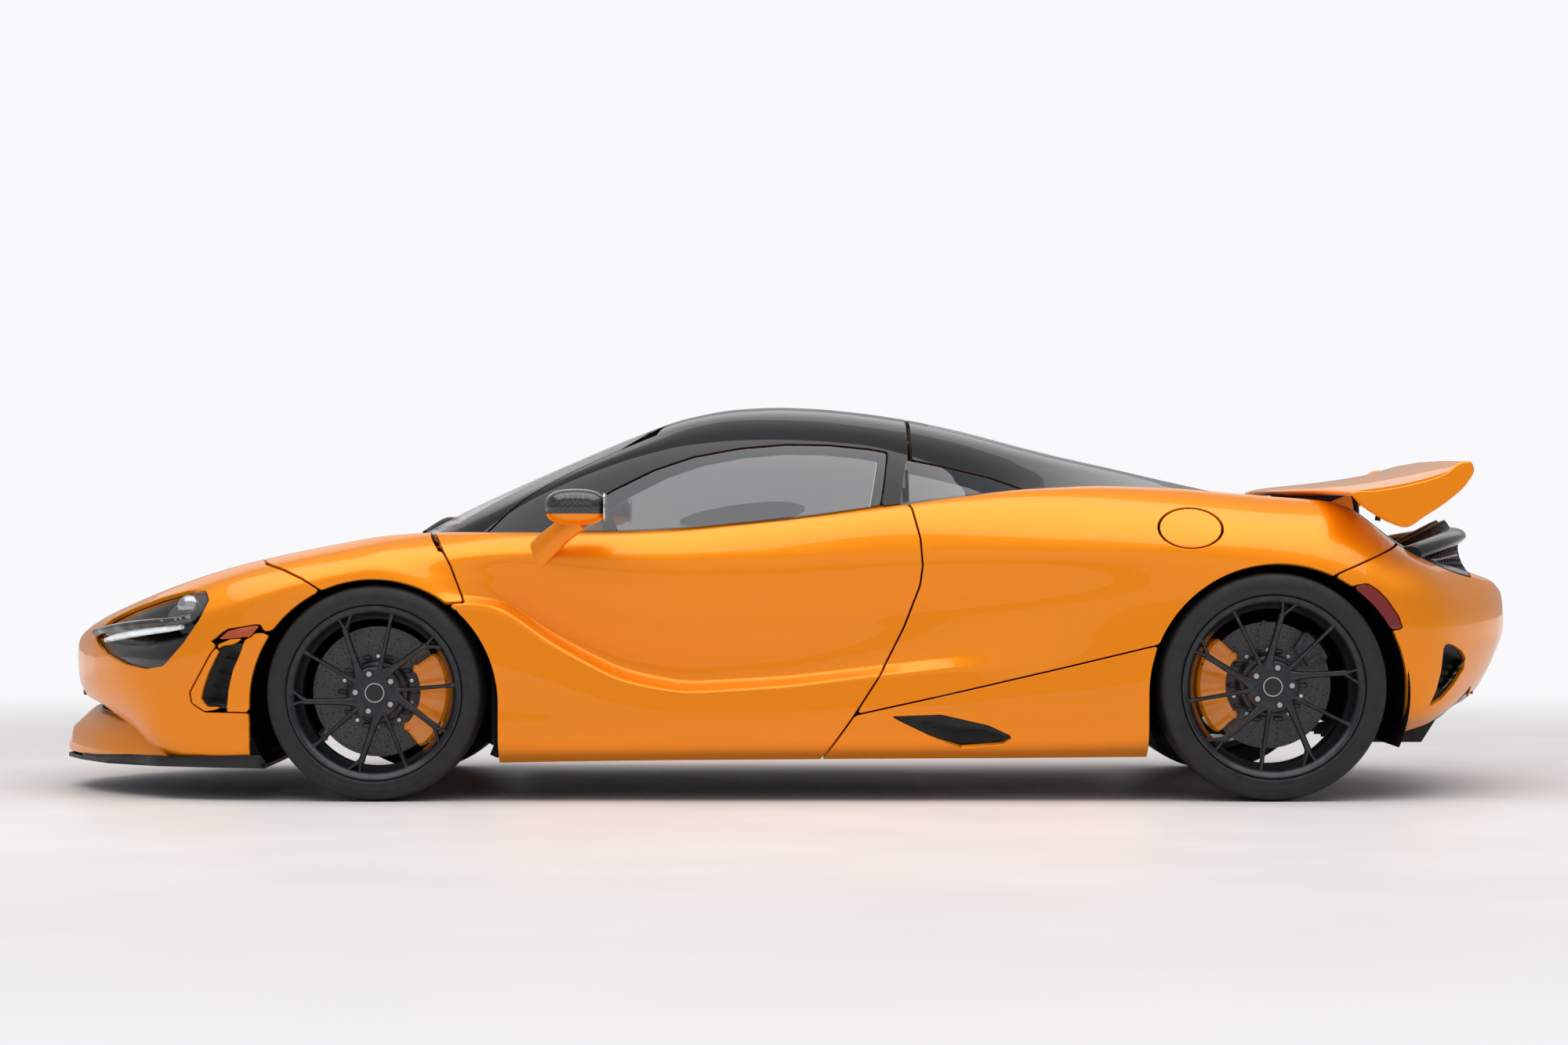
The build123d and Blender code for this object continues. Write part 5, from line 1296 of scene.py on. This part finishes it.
# ---- greenhouse -----------------------------------------------------------------------------------
# Side view (x, z) of the windows in door and quarter
SIDE_WINDOW = (
    (-700, 800), (-640, 850), (-520, 925), (-400, 985), (-280, 1026), (-140, 1052), (0, 1064), (130, 1062),
    (250, 1050), (306, 1040), (296, 960), (283, 880), (140, 856), (-6, 836), (-242, 816), (-480, 803))
QUARTER_WINDOW = (
    (360, 1020), (480, 996), (620, 962), (706, 930), (712, 918), (600, 905), (430, 888), (338, 874),
    (348, 950))
# Plan view (x, y) of the screens, and of the door's half of the roof on the left
SCREEN = (
    (-1180, -430), (-1090, -560), (-1010, -622), (-930, -606), (-640, -508), (-440, -452), (-440, 452),
    (-640, 508), (-930, 606), (-1010, 622), (-1090, 560), (-1180, 430))
REAR_GLASS = ((440, -372), (700, -318), (1050, -236), (1050, 236), (700, 318), (440, 372))
DOOR_TOP = (
    (-1125, -1200), (-1125, -852), (-1030, -815), (-400, -547), (-362, -338), (372, -338), (372, -1200))
# Room in the roof round the head of the door's hinge
HEAD_ROOM = ((-500, -585), (-395, -565), (-355, -330), (-400, -330), (-440, -500))
ROOF_REAR = 378.0          # where the roof ends and the rear canopy begins


def canopy_surface():
    """The greenhouse: the averaged rows of its section table."""
    xs, rows = stations(CANOPY, CANOPY_ENDS, CANOPY_AVERAGE)
    return Surface(section_grid(xs, rows, CANOPY_SAMPLES, np.zeros((len(xs), 6))))


def build_greenhouse(options):
    """Roof, doors' tops, rear canopy and all the glass, cut from the greenhouse where it clears the body's
    crest."""
    s = canopy_surface()
    across = -np.abs(s.y)
    window, small = (region(side_of(s, outline), 400 + across) for outline in (SIDE_WINDOW, QUARTER_WINDOW))
    screen, rear = (outline_distance(s.x, s.y, outline) for outline in (SCREEN, REAR_GLASS))
    top, room = (outline_distance(s.x, across, outline) for outline in (DOOR_TOP, HEAD_ROOM))
    roof_end = s.x - ROOF_REAR
    under = 6 + np.interp(s.x, body.x[:, 0], body.z[:, CREST]) - s.z
    shell = dict(back=True, depth=20)
    glass = dict(seam=1, depth=5)
    put("roof_skin", cut_panel(s, region(-top, -screen, -room, roof_end, under), **shell), "black_lacquer",
        replaces="roof_frame")
    put("windscreen_pane", cut_panel(s, screen, **glass), "grey_glass", replaces="windscreen")
    put("rear_canopy_skin", cut_panel(s, region(-roof_end, -small, -rear, under), **shell), "black_lacquer",
        replaces="rear_canopy")
    put("rear_window_pane", cut_panel(s, rear, **glass), "grey_glass", replaces="rear_glass")
    put("quarter_window_panes", cut_panel(s, small, **glass), "grey_glass", replaces="quarter_windows")
    door_top = cut_panel(s, region(top, -window, s.y + 300, under), back=True, depth=8)
    both("door_top_SIDE", door_top, "black_lacquer", "door_SIDE", "door_frame_SIDE")
    both("door_pane_SIDE", cut_panel(s, region(window, s.y + 300), **glass), "grey_glass", "door_SIDE",
         "side_window_SIDE")


# ---- body assembly --------------------------------------------------------------------------------
def flap_distance(s):
    """Oval of the fuel flap in side view, on the left haunch."""
    cx, cz, rx, rz = FLAP
    return (np.hypot((s.x - cx) / rx, (s.z - cz) / rz) - 1) * (rx + rz) / 2


def build_front(options):
    """Nose, fenders and luggage lid, cut along the bumper, lid and door lines, and the sunk tray behind the
    lid."""
    s = body
    arch = arch_distance(s, WHEELS["front"])
    lid = region(outline_distance(s.x, s.y, LID_PLAN), box(s, z=(300, FAR)))
    ahead = region(line_side(s.x, s.z, BUMPER_REAR), box(s, x=(-FAR, -1226)))
    openings = [-side_of(s, outline) for outline in (LAMP, VENT_PANEL, MARKER, MOUTH)]
    nose = region(ahead, -lid, *openings, arch)
    cowl = box(s, x=(-1213, -900), y=(-585, 585), z=(600, FAR))
    fender = region(box(s, x=(-FAR, -700), y=(-FAR, -290), z=(560, FAR)), -ahead, -side_of(s, DOOR),
                    -side_of(s, DOOR_CORNER), -lid, arch, -cowl)
    points, normals, faces = cut_panel(s, cowl)
    put("cowl_tray", (points - np.array([0, 0, COWL_DROP]), normals, faces), "black_trim")
    put("nose_skin", cut_panel(s, nose), "amber_paint", replaces="front_bumper")
    put("lid_skin", cut_panel(s, lid, back=True, depth=16), "amber_paint", "front_lid", "luggage_lid")
    both("fender_skin_SIDE", cut_panel(s, fender), "amber_paint", replaces="fenders")


def build_doors(options):
    """Door skins, with the blade that runs down to the skirt."""
    door = region(flank_of(body, DOOR, 700), arch_distance(body, WHEELS["front"]))
    skin = cut_panel(body, door, back=True, depth=16)
    both("door_skin_SIDE", skin, "amber_paint", "door_SIDE", "door_SIDE")


def build_rear(options):
    """Quarters with their skirts, fuel flap, deck, the dark valley between the haunches, and the tail."""
    s = body
    arch = arch_distance(s, WHEELS["rear"])
    tail = -line_side(s.x, s.z, TAIL_SEAM)
    deck = box(s, x=(1340, 1900), y=(-DECK_HALF, DECK_HALF))
    skirt_line = line_side(s.x, s.z, SKIRT_SEAM)
    behind_door = region(-side_of(s, DOOR), box(s, x=(20, FAR), y=(-FAR, -250)), arch)
    slope = region(np.abs(s.y) - np.abs(s.y[:, [CREST]]) + 10, box(s, x=(1690, FAR)))
    well = region(slope, box(s, x=(-FAR, 2096)))
    quarter = region(behind_door, tail, -deck, -skirt_line, -slope)
    skirt = region(behind_door, skirt_line, box(s, x=(-FAR, 1300)), -side_of(s, REAR_INTAKE))
    left = region(quarter, -flap_distance(s))
    put("quarter_skin_left", cut_panel(s, left), "amber_paint", replaces="quarters")
    put("quarter_skin_right", cut_panel(s, quarter), "amber_paint", replaces="quarters", right=True)
    flap = cut_panel(s, region(flap_distance(s), box(s, y=(-FAR, -400))), back=True, depth=5)
    put("flap_skin", flap, "amber_paint", "fuel_flap", "fuel_flap")
    both("skirt_skin_SIDE", cut_panel(s, skirt), "amber_paint", replaces="quarters")
    put("deck_skin", cut_panel(s, deck), "black_lacquer", replaces="rear_deck")
    put("valley_skin", cut_panel(s, region(well, -deck)), "black_lacquer", replaces="rear_deck")
    bumper = region(box(s, x=(1500, FAR)), -tail, -deck, arch, -side_of(s, REAR_MARKER),
                    -side_of(s, REAR_SLOT), -well)
    put("tail_skin", cut_panel(s, bumper), "amber_paint", replaces="rear_bumper")


# ---- stage ----------------------------------------------------------------------------------------
# Lights as place, aim and size in metres, and watts
LIGHTS = {
    "ceiling": ((0.0, -1.6, 5.6), (0.0, 0.0, 0.4), (11.0, 6.0), 440.0),
    "front_fill": ((0.0, -8.5, 3.2), (0.0, 0.0, 0.5), (12.0, 3.4), 55.0),
    "rear_fill": ((0.0, 7.0, 4.4), (0.0, 0.0, 0.6), (12.0, 4.0), 70.0),
}
FLOOR_REACH = 60000.0      # half the floor's width
LENS_SHIFT = 13.9 / 2000   # the camera's shift, as a share of the picture's width


def panel_light(name, place, aim, size, watts):
    """A rectangular soft light at a place, turned to its aim."""
    light = bpy.data.lights.new(name, "AREA")
    light.shape = "RECTANGLE"
    light.size, light.size_y = size
    light.energy = watts
    light.color = (1.0, 0.995, 0.985)
    thing = bpy.data.objects.new(name, light)
    bpy.context.scene.collection.objects.link(thing)
    dx, dy, dz = (b - a for a, b in zip(place, aim))
    thing.location = place
    thing.rotation_euler = (math.atan2(math.hypot(dx, dy), -dz), 0.0, math.atan2(-dx, dy) if dx or dy else 0)


def build_air(scene):
    """A pale backdrop: full strength where the camera sees it, also through glass, and dimmer as a light."""
    world = bpy.data.worlds.new("studio_air")
    scene.world = world
    world.use_nodes = True
    tree = world.node_tree
    back = tree.nodes["Background"]
    back.inputs["Color"].default_value = linear("#F9F8FB")
    path = add_node(tree, "ShaderNodeLightPath")
    seen = add_node(tree, "ShaderNodeMath", operation="MAXIMUM")
    tree.links.new(path.outputs["Is Camera Ray"], seen.inputs[0])
    tree.links.new(path.outputs["Is Transmission Ray"], seen.inputs[1])
    level = add_node(tree, "ShaderNodeMapRange", [(seen.outputs["Value"], "Value")], To_Min=0.42, To_Max=1.0)
    tree.links.new(level.outputs["Result"], back.inputs["Strength"])


def build_floor():
    """Pale painted floor, a little uneven in tone and gloss, that fades into the backdrop with distance."""
    tree, shader, place = new_finish("studio_floor", Specular_IOR_Level=0.3)
    tone = speckled(tree, place, 1.2, linear("#E4E1E0"), linear("#EEEBEA"), 6.0)
    tree.links.new(tone, shader.inputs["Base Color"])
    tree.links.new(speckled(tree, place, 2.0, grey(0.40), grey(0.46), 3.0), shader.inputs["Roughness"])
    away = add_node(tree, "ShaderNodeVectorMath", [(place, "Vector")], operation="LENGTH")
    share = add_node(tree, "ShaderNodeMapRange", [(away.outputs["Value"], "Value")],
                     interpolation_type="SMOOTHSTEP", From_Min=2.2, From_Max=8.5)
    haze = add_node(tree, "ShaderNodeEmission", Color=linear("#FAF9FB"), Strength=1.0)
    blend = add_node(tree, "ShaderNodeMixShader", [(share.outputs["Result"], "Fac")])
    tree.links.new(shader.outputs["BSDF"], blend.inputs[1])
    tree.links.new(haze.outputs["Emission"], blend.inputs[2])
    tree.links.new(blend.outputs["Shader"], tree.nodes["Material Output"].inputs["Surface"])
    corners = FLOOR_REACH * np.array([(-1, -1, 0), (1, -1, 0), (1, 1, 0), (-1, 1, 0)]) - np.array([0, 0, 0.5])
    make_object("studio_floor", corners, [[0, 1, 2, 3]], ["studio_floor"], smooth=False)


def build_stage(options):
    """Backdrop, floor, three soft lights and the camera square to the car's left side."""
    scene = bpy.context.scene
    scene.view_settings.view_transform = "Standard"
    build_air(scene)
    build_floor()
    for name, setting in LIGHTS.items():
        panel_light(name, *setting)
    view = bpy.data.cameras.new("camera")
    view.lens, view.sensor_width, view.shift_y = 94.0, 36.0, LENS_SHIFT
    camera = bpy.data.objects.new("camera", view)
    camera.location = (-0.0065, -13.1, 0.796)
    camera.rotation_euler = (math.radians(90), 0, 0)
    scene.collection.objects.link(camera)
    scene.camera = camera


# ---- add-on ---------------------------------------------------------------------------------------
def colour_property(name, description, default):
    """A colour that a user may change, given as an sRGB hex text."""
    return FloatVectorProperty(name=name, description=description, default=linear(default), size=4,
                               subtype="COLOR", min=0.0, max=1.0)


class SupercarOptions(bpy.types.PropertyGroup):
    """Colours and the glass density that a user may change."""
    paint: colour_property("Paint", "Body colour where it faces the eye", "#FA8E00")
    # the paler tone where the paint turns away is a painted highlight
    paint_highlight: colour_property("Paint, turned away", "Body colour where it turns away", "#FF9E06")
    rim: colour_property("Rims", "Wheel lacquer", "#26282B")
    caliper: colour_property("Calipers", "Brake caliper enamel", "#FF8A00")
    glass: FloatProperty(name="Glass density", description="How much the glass hides", default=0.6, min=0,
                         max=1, subtype="FACTOR")


class Dress:
    """An operator that runs its steps in order and is done."""
    bl_options = {"REGISTER", "UNDO"}
    steps = ()

    def execute(self, context):
        """Runs the steps with the scene's options."""
        for step in self.steps:
            step(context.scene.supercar)
        return {"FINISHED"}


class SUPERCAR_OT_finishes(Dress, bpy.types.Operator):
    """Make the finishes"""
    bl_idname = "supercar.finishes"
    bl_label = "Finishes"
    steps = (make_finishes,)


class SUPERCAR_OT_stage(Dress, bpy.types.Operator):
    """Set the floor, lights and camera"""
    bl_idname = "supercar.stage"
    bl_label = "Stage"
    steps = (build_stage,)


class SUPERCAR_OT_front(Dress, bpy.types.Operator):
    """Make the nose, fenders and luggage lid"""
    bl_idname = "supercar.front"
    bl_label = "Front panels"
    steps = (build_front,)


class SUPERCAR_OT_doors(Dress, bpy.types.Operator):
    """Make the door skins"""
    bl_idname = "supercar.doors"
    bl_label = "Doors"
    steps = (build_doors,)


class SUPERCAR_OT_rear(Dress, bpy.types.Operator):
    """Make the quarters, deck, tail and fuel flap"""
    bl_idname = "supercar.rear"
    bl_label = "Rear panels"
    steps = (build_rear,)


class SUPERCAR_OT_greenhouse(Dress, bpy.types.Operator):
    """Make the roof, pillars and glass"""
    bl_idname = "supercar.greenhouse"
    bl_label = "Greenhouse"
    steps = (build_greenhouse,)


class SUPERCAR_OT_wheels(Dress, bpy.types.Operator):
    """Make the tyres, rims, discs and calipers"""
    bl_idname = "supercar.wheels"
    bl_label = "Wheels"
    steps = (build_wheels, build_brakes, build_liners)


class SUPERCAR_OT_lamps(Dress, bpy.types.Operator):
    """Make the headlamps and markers"""
    bl_idname = "supercar.lamps"
    bl_label = "Lamps"
    steps = (build_lamps,)


class SUPERCAR_OT_nose(Dress, bpy.types.Operator):
    """Make the lip, blades and vents"""
    bl_idname = "supercar.nose"
    bl_label = "Nose parts"
    steps = (build_nose_parts,)


class SUPERCAR_OT_mirrors(Dress, bpy.types.Operator):
    """Make the mirrors and the inner door trim"""
    bl_idname = "supercar.mirrors"
    bl_label = "Mirrors and door trim"
    steps = (build_mirrors, build_door_cards)


class SUPERCAR_OT_wing(Dress, bpy.types.Operator):
    """Make the active wing"""
    bl_idname = "supercar.wing"
    bl_label = "Rear wing"
    steps = (build_wing,)


class SUPERCAR_OT_tail(Dress, bpy.types.Operator):
    """Make the mesh, outlets, lamps and tail pipes"""
    bl_idname = "supercar.tail"
    bl_label = "Tail parts"
    steps = (build_tail, build_pipes)


class SUPERCAR_OT_cabin(Dress, bpy.types.Operator):
    """Make the seats, dashboard and steering wheel"""
    bl_idname = "supercar.cabin"
    bl_label = "Cabin"
    steps = (build_cabin,)


class SUPERCAR_OT_nodes(Dress, bpy.types.Operator):
    """Dress the frame nodes that stay in sight"""
    bl_idname = "supercar.nodes"
    bl_label = "Frame finishes"
    steps = (dress_nodes,)


OPERATORS = (
    SUPERCAR_OT_finishes, SUPERCAR_OT_stage, SUPERCAR_OT_front, SUPERCAR_OT_doors, SUPERCAR_OT_rear,
    SUPERCAR_OT_greenhouse, SUPERCAR_OT_wheels, SUPERCAR_OT_lamps, SUPERCAR_OT_nose, SUPERCAR_OT_mirrors,
    SUPERCAR_OT_wing, SUPERCAR_OT_tail, SUPERCAR_OT_cabin, SUPERCAR_OT_nodes)


class SUPERCAR_PT_panel(bpy.types.Panel):
    """Lists the pieces and their options"""
    bl_idname = "SUPERCAR_PT_panel"
    bl_label = "Supercar"
    bl_space_type = "VIEW_3D"
    bl_region_type = "UI"
    bl_category = "Supercar"

    def draw(self, context):
        """One row for each option and each operator."""
        options = context.scene.supercar
        for key in SupercarOptions.__annotations__:
            self.layout.prop(options, key)
        for operator in OPERATORS:
            self.layout.operator(operator.bl_idname)


CLASSES = (SupercarOptions, *OPERATORS, SUPERCAR_PT_panel)


def register():
    """Registers the classes and hangs the options on the scene."""
    for cls in CLASSES:
        bpy.utils.register_class(cls)
    bpy.types.Scene.supercar = PointerProperty(type=SupercarOptions)


def unregister():
    """Takes the options and the classes away again."""
    del bpy.types.Scene.supercar
    for cls in reversed(CLASSES):
        bpy.utils.unregister_class(cls)


def main():
    """Builds the whole car and its stage."""
    register()
    for operator in OPERATORS:
        group, name = operator.bl_idname.split(".")
        getattr(getattr(bpy.ops, group), name)()
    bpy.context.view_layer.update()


if __name__ == "__main__":
    main()
